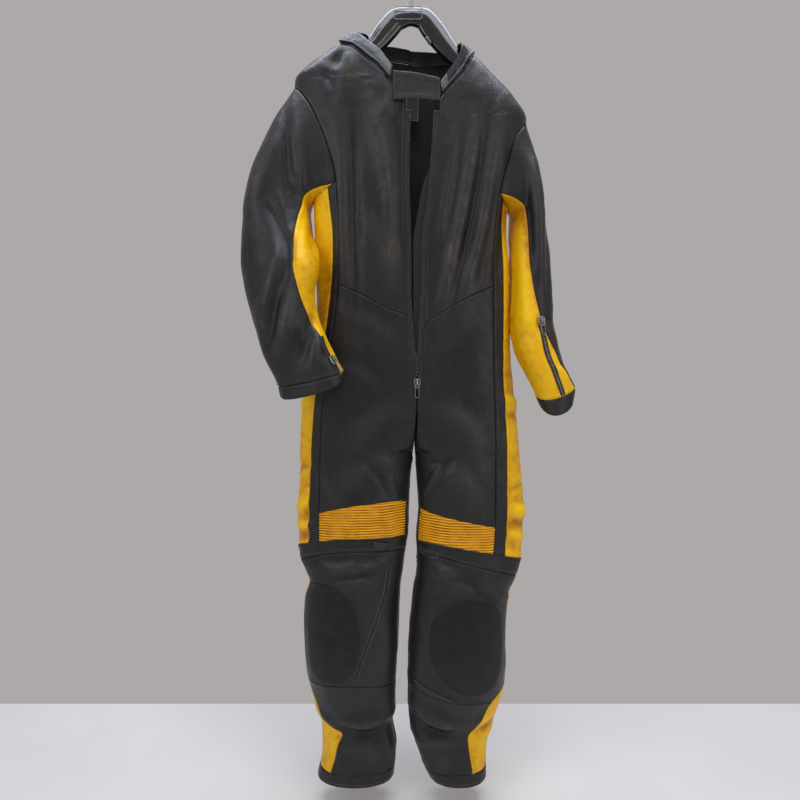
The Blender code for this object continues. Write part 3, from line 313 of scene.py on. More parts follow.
def place_of_x(side, z, x):
    """The place round the front of the section at height z that lies at x."""
    edge, out = (column(BODY[side], BODY_COLUMNS, n, z) for n in ("edge", "out"))
    apex = (edge + out) / 2
    share = np.clip((x - apex) / (out - apex), -1, 1)
    rest = (1 - np.abs(share) ** SQUARE) ** (1 / SQUARE)
    return 0.25 + np.arctan2(share, rest) / (2 * math.pi)


def seam_place(side, z, name):
    """The place round the section of one of the long seams."""
    value = column(SEAMS[side], SEAM_COLUMNS, name, z)
    return value if name == "behind" else place_of_x(side, z, value)


def side_edge(side, z, seam):
    """The outer edge of a front or back piece: shoulder seam, armhole, then a long seam."""
    return np.where(z >= ARMHOLE[side]["top"], 0.5, seam_place(side, z, seam))


def rim_ends(side):
    """The places of the armhole's two lower corners."""
    corner = ARMHOLE[side]["corner"]
    return float(seam_place(side, corner, "strip")), float(seam_place(side, corner, "behind"))


def rim_height(side, place):
    """Height of the armhole's lower rim at a place round the section."""
    hole = ARMHOLE[side]
    first, last = rim_ends(side)
    share = np.clip((place - first) / (last - first), 0, 1)
    return hole["corner"] + (hole["bottom"] - hole["corner"]) * np.sin(math.pi * share)


def sleeve_point(side, angle, row):
    """The point of a sleeve at an angle from its outer line, at a row of its table."""
    angle, row = np.broadcast_arrays(np.asarray(angle, float), np.asarray(row, float))
    table = [(k, *values) for k, values in enumerate(SLEEVE[side])]
    columns = ("row",) + SLEEVE_COLUMNS
    get = {name: column(table, columns, name, row) for name in SLEEVE_COLUMNS}
    outer = np.stack([get["ox"], get["oy"], get["oz"]], axis=-1)
    inner = np.stack([get["ix"], get["iy"], get["iz"]], axis=-1)
    half = (outer - inner) / 2
    across = np.stack([half[..., 1], -half[..., 0], np.zeros_like(row)], axis=-1)
    across /= np.linalg.norm(across, axis=-1, keepdims=True)
    across *= np.sign(-across[..., 1:2])
    c, s = round_off(angle)
    point = (outer + inner) / 2 + half * c[..., None] + across * (get["deep"] * s)[..., None]
    point[..., 2] -= get["dip"] * s
    return point


def armhole_place(side, angle):
    """Place and height on the body of the armhole, at the sleeve's angles."""
    hole = ARMHOLE[side]
    first, last = rim_ends(side)
    turn = np.mod(angle, 2 * math.pi)
    over_front = turn <= math.pi
    down = np.where(over_front, turn, 2 * math.pi - turn) / CORNER_ANGLE
    drop = 1 - np.cos(np.clip(down, 0, 1) * math.pi / 2)
    z = hole["top"] + (hole["corner"] - hole["top"]) * drop
    edge = np.where(over_front, seam_place(side, z, "strip"), seam_place(side, z, "behind"))
    share = (turn - CORNER_ANGLE) / (2 * math.pi - 2 * CORNER_ANGLE)
    rim = first + (last - first) * np.clip(share, 0, 1)
    return np.where(down < 1, edge, rim), np.where(down < 1, z, rim_height(side, rim))


def sewn_sleeve_point(side, angle, row):
    """The sleeve, drawn to the armhole over its first row."""
    angle, row = np.broadcast_arrays(np.asarray(angle, float), np.asarray(row, float))
    hole = body_point(side, *armhole_place(side, angle))
    pull = hole - sleeve_point(side, angle, np.zeros_like(row))
    return sleeve_point(side, angle, row) + pull * (np.clip(1 - row, 0, 1) ** 2)[..., None]


def neck_point(side, u):
    """The neckline at a place round the section."""
    u = np.asarray(u, float)
    return body_point(side, u, curve(NECKLINE[side], u))


def collar_point(side, u, up):
    """The stand collar: from the neckline, leaning in as it rises."""
    u, up = np.broadcast_arrays(np.asarray(u, float), np.asarray(up, float))
    base = neck_point(side, u)
    lean = column(COLLAR[side], COLLAR_COLUMNS, "lean", u)
    rise = column(COLLAR[side], COLLAR_COLUMNS, "rise", u)
    turn = np.pi * u
    inward = np.stack([-side * np.sin(turn), np.cos(turn), np.zeros_like(u)], axis=-1)
    point = base + inward * (lean * up)[..., None]
    point[..., 2] += rise * up
    return point


# %% [markdown]
# A sheet needs to know which way is out, so that creases can stand up from it. Two short
# steps over the surface, one across and one up, give its normal by their cross product.

# %% Which way is out
def unit(vectors):
    """The same vectors with length one."""
    return vectors / np.maximum(np.linalg.norm(vectors, axis=-1, keepdims=True), 1e-9)


def body_out(side, u, z):
    """Outward normals of the trunk and legs."""
    across = (body_point(side, np.clip(u + 0.004, 0, 1), z)
              - body_point(side, np.clip(u - 0.004, 0, 1), z))
    up = body_point(side, u, z + 0.002) - body_point(side, u, z - 0.002)
    return unit(np.cross(across, up) * side)


def sleeve_out(side, angle, row):
    """Outward normals of a sleeve, away from the middle of its section."""
    across = (sewn_sleeve_point(side, angle + 0.03, row)
              - sewn_sleeve_point(side, angle - 0.03, row))
    along = (sewn_sleeve_point(side, angle, np.minimum(row + 0.04, 9))
             - sewn_sleeve_point(side, angle, np.maximum(row - 0.04, 0)))
    found = unit(np.cross(across, along))
    middle = (sewn_sleeve_point(side, 0 * angle, row)
              + sewn_sleeve_point(side, math.pi + 0 * angle, row)) / 2
    away = sewn_sleeve_point(side, angle, row) - middle
    return found * np.sign(np.sum(found * away))


# %% [markdown]
# ## Creases, listed one by one
#
# Stiff leather makes few folds and they are never alike. Each row below is one ridge or,
# with a negative depth, one trough, in millimetres: where it starts and ends across the
# suit, how far it bows aside, its half width and how far it stands up. Its section is a soft
# ridge with a shallow valley beside it, because the hide that makes the ridge is drawn from
# next to it.

# %% The crease tables
CREASE_COLUMNS = ("x0", "z0", "x1", "z1", "bow", "wide", "deep")
FRONT_CREASES = (
    # left chest, from the shoulder
    (132, -270, 50, -720, 12, 15, 8.5), (172, -285, 98, -700, 12, 14, 8.5),
    (184, -320, 152, -640, 6, 10, 6), (150, -300, 78, -690, 10, 10, -6),
    (85, -340, 52, -560, 4, 9, 4.5),
    # left shoulder's crown
    (120, -215, 165, -285, -10, 20, 6),
    # right chest
    (-84, -285, -52, -470, 6, 16, 7), (-142, -275, -136, -700, 4, 13, 7),
    (-112, -300, -108, -690, -4, 12, -5.5), (-50, -300, -44, -640, 3, 12, 4.5),
    # the notch over the hanger's end
    (-132, -180, -150, -268, -14, 12, -11), (-118, -185, -120, -255, 4, 14, 8),
    (-172, -205, -150, -262, 10, 14, 7), (-30, -250, -70, -330, 6, 12, 4.5),
    # belly
    (-105, -480, -30, -640, 10, 20, 4), (55, -500, 130, -640, -10, 18, 3.5),
    # trouser front
    (-150, -690, -30, -760, 12, 16, 3), (150, -700, 40, -790, -12, 16, 3.5),
    (-165, -800, -50, -860, 10, 14, 3), (-15, -880, -130, -985, -20, 20, 5),
    (30, -880, 140, -960, 18, 18, 5),
    # left thigh's sharp ridge
    (70, -990, 26, -1068, 4, 7, 5.5), (95, -975, 36, -1000, 16, 14, -5.5),
    (80, -1000, 150, -1110, 10, 18, 4.5), (130, -930, 165, -1060, -8, 16, 3.5),
    # right thigh's pulled corner
    (-100, -990, -40, -1080, 10, 12, -6), (-80, -1000, -160, -1100, -16, 20, 5),
    (-60, -1020, -30, -1085, 3, 9, 4.5), (-190, -1020, -150, -1110, 4, 12, 3),
    # pushed-up leather over the knees
    (-185, -1214, -110, -1206, -8, 8, 6.5), (-150, -1238, -70, -1222, -6, 8, -5),
    (-120, -1216, -50, -1206, -6, 7, 5), (-160, -1262, -80, -1248, 6, 12, 3),
    (50, -1214, 100, -1228, -6, 10, 6.5), (60, -1245, 150, -1262, -8, 11, 4),
    (120, -1250, 190, -1292, -6, 10, -4.5), (170, -1262, 215, -1300, -3, 8, 4.5),
    (-70, -1300, -45, -1400, 4, 16, 3),
    # folds above the hems
    (-150, -1575, -42, -1568, -8, 11, 8.5), (-135, -1600, -60, -1598, -10, 12, -8),
    (-120, -1618, -70, -1690, 12, 14, 6), (-60, -1610, -45, -1690, 4, 11, 5),
    (-160, -1640, -90, -1665, 6, 12, 3.5), (8, -1548, 108, -1586, -6, 10, 8.5),
    (18, -1582, 100, -1612, -10, 13, -9), (30, -1640, 95, -1625, 8, 12, 5),
    (60, -1650, 85, -1700, 4, 12, 4), (0, -1480, 100, -1520, 6, 16, 3.5),
)
SIDE_CREASES = (
    # sides that fill the armpits
    (203, -480, 204, -780, 0, 18, 8), (-199, -640, -197, -450, 0, 18, 8),
    # the yellow sides
    (-215, -870, -245, -890, 0, 8, 4), (-200, -1000, -245, -1020, 3, 7, -3),
    (-215, -1080, -250, -1110, 4, 10, 6), (-205, -1130, -250, -1140, 4, 8, 5.5),
    (-210, -1160, -245, -1176, -4, 7, -4.5), (190, -868, 235, -884, 3, 8, 5),
    (192, -900, 240, -906, -3, 8, -4), (200, -1060, 250, -1050, 0, 6, -3),
    (205, -1095, 250, -1120, 5, 10, 7), (200, -1130, 248, -1140, 6, 8, -5),
    (200, -1150, 245, -1175, 4, 10, 6), (190, -1185, 232, -1205, 2, 7, 4),
    (-200, -560, -190, -700, 4, 10, 3.5), (190, -540, 200, -680, 4, 10, 3.5),
    (-200, -1560, -150, -1610, 4, 8, 5), (-190, -1590, -160, -1680, 4, 8, 4.5),
    (190, -1590, 140, -1605, 4, 8, -5.5), (180, -1560, 150, -1580, 2, 9, 5),
    (160, -1620, 158, -1700, 3, 8, 4),
)
BACK_CREASES = (
    (-150, -260, -60, -560, 20, 20, 7.5), (140, -300, 70, -580, -16, 20, 7.5),
    (-20, -280, -10, -620, 8, 26, 5), (-185, -330, -120, -430, 10, 14, 6),
    (185, -370, 120, -460, 10, 14, -6), (-140, -600, 20, -640, -10, 14, 5.5),
    (150, -590, 10, -625, 12, 14, 5), (-160, -700, -30, -730, 12, 16, 5),
    (160, -710, 40, -745, -10, 16, -5), (-190, -840, -60, -960, 22, 24, 7.5),
    (190, -850, 60, -965, -22, 24, 7.5), (-60, -960, -190, -1010, -12, 13, -7),
    (70, -965, 200, -1020, 12, 13, -7), (-80, -1030, -190, -1080, 14, 18, 5.5),
    (80, -1040, 200, -1075, -14, 18, 5.5), (-200, -1190, -50, -1210, 10, 12, 8),
    (-200, -1240, -45, -1250, -8, 12, -7), (-190, -1290, -60, -1275, 12, 14, 7),
    (200, -1200, 45, -1225, -10, 12, 8), (200, -1255, 40, -1270, 10, 12, -7),
    (190, -1310, 50, -1290, -12, 14, 7), (-180, -1400, -80, -1460, 12, 18, 4.5),
    (170, -1410, 60, -1470, 12, 18, 4.5), (-180, -1570, -60, -1600, 12, 13, 8),
    (160, -1560, 40, -1590, -12, 13, 8), (-160, -1640, -70, -1620, 8, 12, -6),
    (150, -1640, 60, -1620, 8, 12, -6),
)
SLEEVE_FRONT_CREASES = (
    # right sleeve
    (-228, -270, -208, -600, -4, 9, 7), (-246, -270, -238, -520, -4, 10, -6),
    (-262, -330, -322, -520, -14, 22, 8), (-290, -470, -245, -630, 18, 14, -10),
    (-250, -520, -300, -710, 10, 14, 8), (-318, -560, -312, -620, -4, 10, -6),
    (-262, -640, -282, -760, 6, 10, -7.5), (-226, -610, -268, -800, 12, 14, 8.5),
    (-190, -660, -215, -800, 8, 10, -6), (-175, -690, -190, -800, 6, 10, 4.5),
    (-220, -450, -196, -560, 4, 10, -5), (-300, -700, -285, -820, 2, 10, 4),
    # left sleeve
    (232, -330, 262, -600, 6, 12, 6), (220, -400, 236, -640, 6, 10, -6),
    (262, -480, 274, -690, 6, 10, -5.5), (212, -520, 225, -720, 6, 10, 5),
    (262, -700, 284, -800, 10, 10, 5.5), (228, -700, 270, -800, 10, 10, 4.5),
    (240, -740, 280, -700, 6, 10, -5), (280, -800, 318, -830, 4, 10, 4),
)
SLEEVE_BACK_CREASES = (
    (-240, -280, -290, -520, -14, 18, 8), (-225, -420, -300, -560, 14, 14, -7.5),
    (-200, -580, -320, -620, 12, 13, 8.5), (-205, -640, -310, -665, -10, 12, -7.5),
    (-200, -690, -290, -740, 12, 13, 7), (232, -340, 262, -560, 10, 16, 8),
    (215, -560, 280, -600, -10, 13, -7.5), (215, -640, 285, -665, 10, 13, 8.5),
    (220, -700, 290, -740, 12, 13, -6.5), (240, -760, 305, -800, 10, 12, 6),
)


# %% Creases on a surface
def creased(points, creases):
    """Height of the creases at points, from where they lie across x and z."""
    total = np.zeros(points.shape[:-1])
    for row in metres(creases):
        crease = dict(zip(CREASE_COLUMNS, row))
        start = np.array([crease["x0"], crease["z0"]])
        along = np.array([crease["x1"], crease["z1"]]) - start
        length = np.linalg.norm(along)
        along /= length
        beside = np.array([-along[1], along[0]])
        from_start = points[..., [0, 2]] - start
        share = from_start @ along / length
        inside = np.clip(share, 0, 1)
        off = from_start @ beside - crease["bow"] * 4 * inside * (1 - inside)
        past = np.clip(np.abs(share - 0.5) - 0.5, 0, None) * length / crease["wide"]
        fade = np.sin(math.pi * np.clip(share, 0.06, 0.94)) ** 0.8 * np.exp(-past ** 2)
        ridge = np.exp(-(off / crease["wide"]) ** 2)
        valley = np.exp(-((off - 2.0 * crease["wide"]) / (1.5 * crease["wide"])) ** 2)
        total += crease["deep"] * fade * (ridge - 0.4 * valley)
    return total


def uneven(points, size, seed=0.0):
    """Smooth unevenness between about -1 and 1, longer up and down than across."""
    flat = points.reshape(-1, 3) / np.array([size, size, size * 1.8]) + seed
    return np.array([noise.noise(Vector(p)) for p in flat]).reshape(points.shape[:-1])


def body_relief(points, u):
    """All relief of the trunk and legs: front, sides and back blend where they meet."""
    behind = np.clip((u - 0.42) / 0.16, 0, 1)
    behind = behind * behind * (3 - 2 * behind)
    relief = (1 - behind) * creased(points, FRONT_CREASES + SIDE_CREASES)
    relief += behind * creased(points, BACK_CREASES)
    return relief + 0.0026 * uneven(points, 0.085) + 0.0009 * uneven(points, 0.024, 7.0)


def sleeve_relief(points, angle):
    """All relief of a sleeve."""
    front = np.clip(0.5 + np.sin(angle) * 1.2, 0, 1)
    relief = front * creased(points, SLEEVE_FRONT_CREASES)
    relief += (1 - front) * creased(points, SLEEVE_BACK_CREASES)
    return relief + 0.0024 * uneven(points, 0.070, 3.0) + 0.0009 * uneven(points, 0.022, 9.0)


print("creases placed:", sum(map(len, (FRONT_CREASES, SIDE_CREASES, BACK_CREASES,
                                       SLEEVE_FRONT_CREASES, SLEEVE_BACK_CREASES))))

# %% [markdown]
# The collar, the closure, the zip and the knee pads have short tables of their own.

# %% Collar, closure and knee pads
COLLAR_COLUMNS = ("u", "lean", "rise")
COLLAR = {
    RIGHT: ((0.00, 0.010, 0.040), (0.18, 0.018, 0.036), (0.36, 0.026, 0.030),
            (0.50, 0.030, 0.024), (0.70, 0.016, 0.026), (1.00, 0.004, 0.028)),
    LEFT: ((0.00, 0.008, 0.034), (0.18, 0.016, 0.034), (0.36, 0.026, 0.030),
           (0.50, 0.026, 0.030), (0.70, 0.016, 0.024), (1.00, 0.004, 0.028)),
}
ZIP_BOTTOM_Z = -0.836
FLAP_EDGE = ((-0.330, 0.046), (-0.398, 0.040), (-0.440, 0.024), (-0.480, 0.016),
             (-0.562, 0.004), (-0.730, 0.004), (-0.800, 0.011))
PAD_OUTLINE = {
    RIGHT: ((-0.210, -1.258), (-0.190, -1.254), (-0.155, -1.260), (-0.133, -1.277),
            (-0.112, -1.303), (-0.103, -1.334), (-0.102, -1.366), (-0.105, -1.399),
            (-0.115, -1.431), (-0.127, -1.459), (-0.147, -1.472), (-0.168, -1.473),
            (-0.188, -1.467), (-0.204, -1.454), (-0.212, -1.412), (-0.214, -1.340),
            (-0.213, -1.287)),
    LEFT: ((0.134, -1.281), (0.099, -1.287), (0.072, -1.297), (0.052, -1.313),
           (0.040, -1.335), (0.035, -1.363), (0.036, -1.395), (0.045, -1.431),
           (0.059, -1.460), (0.080, -1.485), (0.101, -1.499), (0.126, -1.504),
           (0.157, -1.498), (0.177, -1.486), (0.188, -1.458), (0.193, -1.394),
           (0.192, -1.349), (0.190, -1.308), (0.175, -1.289), (0.154, -1.283)),
}
PAD_SEAM = {
    RIGHT: ((-0.207, -1.356), (-0.157, -1.374), (-0.105, -1.387)),
    LEFT: ((0.042, -1.411), (0.090, -1.410), (0.126, -1.404)),
}


# %% [markdown]
# ## Finishes
#
# Every finish starts from what the real stuff is. Colours are written as the hex values a
# screen shows and turned to linear light by one function. One more small function adds a
# node with its settings and links, so a finish reads as a list of what feeds what.

# %% Colour and node helpers
def linear(hex_colour):
    """A hex colour turned to linear light."""
    values = [int(hex_colour[k:k + 2], 16) / 255 for k in (1, 3, 5)]
    values = [v / 12.92 if v <= 0.04045 else ((v + 0.055) / 1.055) ** 2.4 for v in values]
    return (*values, 1.0)


def add_node(tree, kind, settings=None, **links):
    """Add a node; settings are its properties, links its sockets as numbers or outputs."""
    node = tree.nodes.new(kind)
    for name, value in (settings or {}).items():
        setattr(node, name, value)
    for name, value in links.items():
        socket = node.inputs[int(name[1:])] if name[1:].isdigit() else node.inputs[
            name.replace("_", " ")]
        if isinstance(value, bpy.types.NodeSocket):
            tree.links.new(value, socket)
        else:
            socket.default_value = value
    return node


def new_finish(name, **constants):
    """A material, its shader and the object's own coordinates, with constants on sockets."""
    made = bpy.data.materials.new(name)
    made.use_nodes = True
    shader = made.node_tree.nodes["Principled BSDF"]
    for socket, value in constants.items():
        shader.inputs[socket.replace("_", " ")].default_value = value
    place = add_node(made.node_tree, "ShaderNodeTexCoord").outputs["Object"]
    return made, made.node_tree, shader, place


def feed(tree, shader, **links):
    """Link outputs to the shader's sockets."""
    for socket, output in links.items():
        tree.links.new(output, shader.inputs[socket.replace("_", " ")])


def ramp(tree, factor, stops):
    """A colour ramp of (place, hex colour) stops."""
    node = add_node(tree, "ShaderNodeValToRGB", Fac=factor)
    while len(node.color_ramp.elements) < len(stops):
        node.color_ramp.elements.new(0.5)
    for element, (place, colour) in zip(node.color_ramp.elements, stops):
        element.position = place
        element.color = linear(colour)
    return node.outputs["Color"]


def bumps(tree, *layers):
    """Stack bump layers, each a height output and its real height in metres."""
    normal = None
    for height, distance in layers:
        node = add_node(tree, "ShaderNodeBump", Height=height, Distance=distance, Strength=1.0)
        if normal is not None:
            tree.links.new(normal, node.inputs["Normal"])
        normal = node.outputs["Normal"]
    return normal


def noise_at(tree, place, size_mm, detail=2.0, stretch=None):
    """Noise whose features are size_mm across."""
    if stretch:
        place = add_node(tree, "ShaderNodeMapping", Vector=place,
                         Scale=stretch).outputs["Vector"]
    return add_node(tree, "ShaderNodeTexNoise", Vector=place, Scale=1000 / size_mm,
                    Detail=detail).outputs["Fac"]


def cells_at(tree, place, size_mm):
    """Distance from the middle of random cells size_mm across."""
    return add_node(tree, "ShaderNodeTexVoronoi", Vector=place,
                    Scale=1000 / size_mm).outputs["Distance"]


# %% [markdown]
# ### Cowhide
#
# Race leather is full-grain cowhide, drum dyed and coated with a satin lacquer. The coat
# keeps a low gloss, so light slides over it in broad soft bands. Its grain is a pebble of
# about 1 mm, drawn at 2.2 mm so that it still shows at this distance. Where a crease
# stands up the coat is rubbed: lighter, browner and a little shinier, and it is also painted
# lighter there as a painted highlight. The hollows of creases and seams are painted darker
# as painted shade. The sheets carry the rubbing and the painted light in one point attribute.

# %% Cowhide finishes
GRAIN_MM, WRINKLE_MM, DRIFT_MM = 2.2, 9.0, 70.0


def cowhide(name, colours, rough, coat):
    """Full-grain cowhide; colours: painted shade in hollows, flat, painted highlight, rubbed."""
    made, tree, shader, place = new_finish(name, IOR=1.5, Coat_Weight=coat,
                                           Coat_Roughness=0.25, Specular_IOR_Level=0.28)
    # The sheet's attribute: rubbing wear and a painted highlight on crests, painted shade in
    # hollows.
    wear_and_shade = add_node(tree, "ShaderNodeAttribute", {"attribute_name": "wear_and_shade"}).outputs["Fac"]
    drift = noise_at(tree, place, DRIFT_MM, 3.0)
    scuff = noise_at(tree, place, 14.0, 4.0)
    scuff_wear_and_shade = add_node(tree, "ShaderNodeMath", {"operation": "MULTIPLY_ADD"}, _0=scuff, _1=0.55,
                    _2=wear_and_shade).outputs[0]
    tone = add_node(tree, "ShaderNodeMath", {"operation": "MULTIPLY_ADD"}, _0=drift, _1=0.35,
                    _2=scuff_wear_and_shade).outputs[0]
    hollow_shade, flat, lit, worn = colours
    # Painted shade at the dark end of the ramp, a painted highlight and rubbed wear at the light
    # end.
    colour = ramp(tree, tone, ((0.18, hollow_shade), (0.48, flat), (0.85, lit), (1.35 / 1.4, worn)))
    gloss = add_node(tree, "ShaderNodeMapRange", Value=scuff, From_Min=0.25, From_Max=0.75,
                     To_Min=rough + 0.08, To_Max=rough - 0.06).outputs["Result"]
    grain = cells_at(tree, place, GRAIN_MM)
    wrinkle = noise_at(tree, place, WRINKLE_MM, 3.0, (1.0, 1.0, 0.55))
    normal = bumps(tree, (wrinkle, 0.0011), (grain, 0.00018))
    feed(tree, shader, Base_Color=colour, Roughness=gloss, Normal=normal)
    return made


# Each first colour is painted shade for hollows, each third a painted highlight for crests.
BLACK = cowhide("black cowhide", ("#161618", "#212122", "#2f2d2c", "#433d38"), 0.40, 0.05)
YELLOW = cowhide("yellow cowhide", ("#b07400", "#e2ac00", "#f2c400", "#fbd01a"), 0.48, 0.03)
print("cowhide grain", GRAIN_MM, "mm, wrinkles", WRINKLE_MM, "mm")


# %% [markdown]
# ### Shirred stretch leather, hook and loop, woven stuff and thread
#
# The panels over the knees are shirred: leather is sewn to elastic so that it gathers into
# fine ribs, whose grooves are painted darker and browner as painted shade. Hook-and-loop pile
# is a felt of nylon loops that takes almost no light. Tapes and lining are plain weaves of nylon.

# %% Soft finishes
def shirred(name):
    """Yellow leather shirred into ribs, with painted shade in the grooves carried by the sheet."""
    made, tree, shader, place = new_finish(name, IOR=1.5, Specular_IOR_Level=0.25,
                                           Roughness=0.52)
    # Painted shade: the ramp below darkens and browns the grooves between the ribs.
    rib = add_node(tree, "ShaderNodeAttribute", {"attribute_name": "wear_and_shade"}).outputs["Fac"]
    blot = noise_at(tree, place, 18.0, 3.0)
    tone = add_node(tree, "ShaderNodeMath", {"operation": "MULTIPLY_ADD"}, _0=blot, _1=0.5,
                    _2=rib).outputs[0]
    colour = ramp(tree, tone, ((0.15, "#8a4c04"), (0.45, "#bd7a08"), (0.80, "#dda010"),
                               (0.97, "#eab41c")))
    normal = bumps(tree, (noise_at(tree, place, 5.0, 2.0), 0.0006))
    feed(tree, shader, Base_Color=colour, Normal=normal)
    return made


def pile(name):
    """Hook-and-loop pile: a dark matt felt of nylon loops 1.6 mm across."""
    made, tree, shader, place = new_finish(name, IOR=1.53, Sheen_Weight=0.12,
                                           Sheen_Roughness=0.6, Specular_IOR_Level=0.2,
                                           Roughness=0.95)
    loops = cells_at(tree, place, 1.6)
    worn = noise_at(tree, place, 26.0, 4.0)
    colour = ramp(tree, worn, ((0.25, "#100f12"), (0.55, "#161519"), (0.80, "#201f24")))
    normal = bumps(tree, (noise_at(tree, place, 7.0, 3.0), 0.0010), (loops, 0.0007))
    feed(tree, shader, Base_Color=colour, Normal=normal)
    return made


def woven(name, colours, thread_mm, rough=0.85, sheen=0.1):
    """A plain weave of nylon yarn, thread_mm from yarn to yarn."""
    made, tree, shader, place = new_finish(name, IOR=1.53, Sheen_Weight=sheen, Roughness=rough)
    warp, weft = (add_node(tree, "ShaderNodeTexWave", {"bands_direction": direction},
                           Vector=place, Scale=1000 / thread_mm / 6.283).outputs["Fac"]
                  for direction in "XZ")
    weave = add_node(tree, "ShaderNodeMath", {"operation": "MULTIPLY"}, _0=warp,
                     _1=weft).outputs[0]
    blot = noise_at(tree, place, 20.0, 3.0)
    tone = add_node(tree, "ShaderNodeMath", {"operation": "MULTIPLY_ADD"}, _0=weave, _1=0.4,
                    _2=blot).outputs[0]
    colour = ramp(tree, tone, ((0.3, colours[0]), (0.9, colours[1])))
    feed(tree, shader, Base_Color=colour, Normal=bumps(tree, (weave, 0.0004)))
    return made


RIBBED = shirred("shirred yellow stretch leather")
PILE = pile("nylon hook and loop pile")
TAPE = woven("woven nylon zip tape", ("#131315", "#29292b"), 1.2)
LINING = woven("knitted nylon lining", ("#0e0e10", "#1d1d20"), 1.5)
LABEL = woven("woven polyester label", ("#1b1b1d", "#2b2b2e"), 0.8)
THREAD = {
    "dark": woven("black bonded nylon thread", ("#19191b", "#36363a"), 0.5, 0.55),
    "pale": woven("grey bonded nylon thread", ("#77787a", "#b4b5b6"), 0.5, 0.6),
    "brown": woven("brown bonded nylon thread", ("#5a4634", "#8c7660"), 0.5, 0.6),
    "gold": woven("gold bonded nylon thread", ("#7a5206", "#b98a10"), 0.5, 0.6),
}


# %% [markdown]
# ### Metal and moulded plastic
#
# The zip sliders are die-cast zinc with worn nickel plate, the hook is steel strip with
# chrome, and the hanger is injection-moulded ABS, whose gloss shows long soft streaks.

# %% Hard finishes
def plated(name, colours, rough):
    """Plated metal: the colour and roughness drift a little where it is rubbed."""
    made, tree, shader, place = new_finish(name, Metallic=1.0)
    rub = noise_at(tree, place, 4.0, 4.0)
    colour = ramp(tree, rub, ((0.3, colours[0]), (0.7, colours[1])))
    gloss = add_node(tree, "ShaderNodeMapRange", Value=rub, To_Min=rough - 0.06,
                     To_Max=rough + 0.10).outputs["Result"]
    feed(tree, shader, Base_Color=colour, Roughness=gloss,
         Normal=bumps(tree, (noise_at(tree, place, 1.5, 2.0), 0.00004)))
    return made


def moulded(name, colours, rough, coat):
    """Moulded plastic with a faint flow pattern and fine scratches."""
    made, tree, shader, place = new_finish(name, IOR=1.54, Coat_Weight=coat,
                                           Coat_Roughness=0.08)
    flow = noise_at(tree, place, 30.0, 2.0)
    colour = ramp(tree, flow, ((0.3, colours[0]), (0.7, colours[1])))
    gloss = add_node(tree, "ShaderNodeMapRange", Value=noise_at(tree, place, 3.0, 4.0),
                     To_Min=rough - 0.04, To_Max=rough + 0.06).outputs["Result"]
    feed(tree, shader, Base_Color=colour, Roughness=gloss,
         Normal=bumps(tree, (flow, 0.0006)))
    return made


NICKEL = plated("worn nickel plate", ("#8d8a86", "#c4c1bb"), 0.30)
DARK_NICKEL = plated("blackened zip teeth", ("#3b3a3a", "#77746f"), 0.35)
CHROME = plated("chromed steel strip", ("#d8dadd", "#eef0f2"), 0.10)
ABS = moulded("glossy black ABS", ("#0c0d0f", "#17191c"), 0.16, 0.5)
PLATE_ABS = moulded("grey satin ABS", ("#6f6d72", "#858288"), 0.34, 0.1)
print("finishes made:", len(bpy.data.materials))


# %% [markdown]
# ## From a grid of points to a sheet of leather
#
# A cut piece is a grid of points between two long seams and two cross seams. Extra lines
# of points close to its edges let the leather turn down into the seam. The grid becomes a
# mesh, and a Solidify modifier gives it the leather's thickness, with the lining inside.

# %% Sheets
LEATHER = 0.0014
FRONT_STEP, BACK_STEP = 0.0046, 0.0066   # spacing of the points
EDGE_LINES = np.array([0.0, 0.0009, 0.0022, 0.0042])


def fine_shares(length, step):
    """Shares along a length: even steps, with closer ones at both ends."""
    ends = EDGE_LINES / max(length, 4 * EDGE_LINES[-1])
    inner = np.linspace(ends[-1], 1 - ends[-1], max(2, int(length / step)))
    return np.concatenate([ends, inner[1:-1], 1 - ends[::-1]])


def patch_places(side, edges, lower, upper, share, step):
    """Places and heights of a piece between two long seams and two cross seams."""
    step = step[:, None]
    ends = []
    for height in (lower, upper):
        z = height(0.25 + 0 * share)
        for _ in range(5):
            first, last = edges(z)
            z = height(first + (last - first) * share)
        ends.append(z[None, :])
    z = ends[0] + (ends[1] - ends[0]) * step
    first, last = edges(z)
    return first + (last - first) * share[None, :], z


def lengths(points, axis):
    """Distance along the grid from its first line, in metres."""
    gaps = np.linalg.norm(np.diff(points, axis=axis), axis=-1)
    start = np.zeros_like(np.take(gaps, [0], axis=axis))
    return np.concatenate([start, np.cumsum(gaps, axis=axis)], axis=axis)


def from_edges(points):
    """Each point's distance from the grid's left, right, lower and upper edges."""
    across, up = lengths(points, 1), lengths(points, 0)
    return {"l": across, "r": across[:, -1:] - across, "d": up, "u": up[-1:] - up}


def seam_shape(points, sewn="lrdu", open_edges=""):
    """Height near the edges: sewn edges tuck in and pucker, open ones are rolled."""
    gaps = from_edges(points)
    total = np.zeros(points.shape[:-1])
    pucker = uneven(points, 0.011, 4.0)
    for edge in sewn:
        gap = gaps[edge]
        total += -0.0013 * np.exp(-(gap / 0.0012) ** 2)
        total += 0.0006 * np.exp(-((gap - 0.0045) / 0.0028) ** 2)
        total += 0.0008 * pucker * np.exp(-((gap - 0.004) / 0.010) ** 2) * (gap > 0.0004)
    for edge in open_edges:
        gap = gaps[edge]
        total += 0.0009 / (1 + np.exp((gap - 0.0095) / 0.0006))
        total += -0.0007 * np.exp(-(gap / 0.0009) ** 2)
    return total


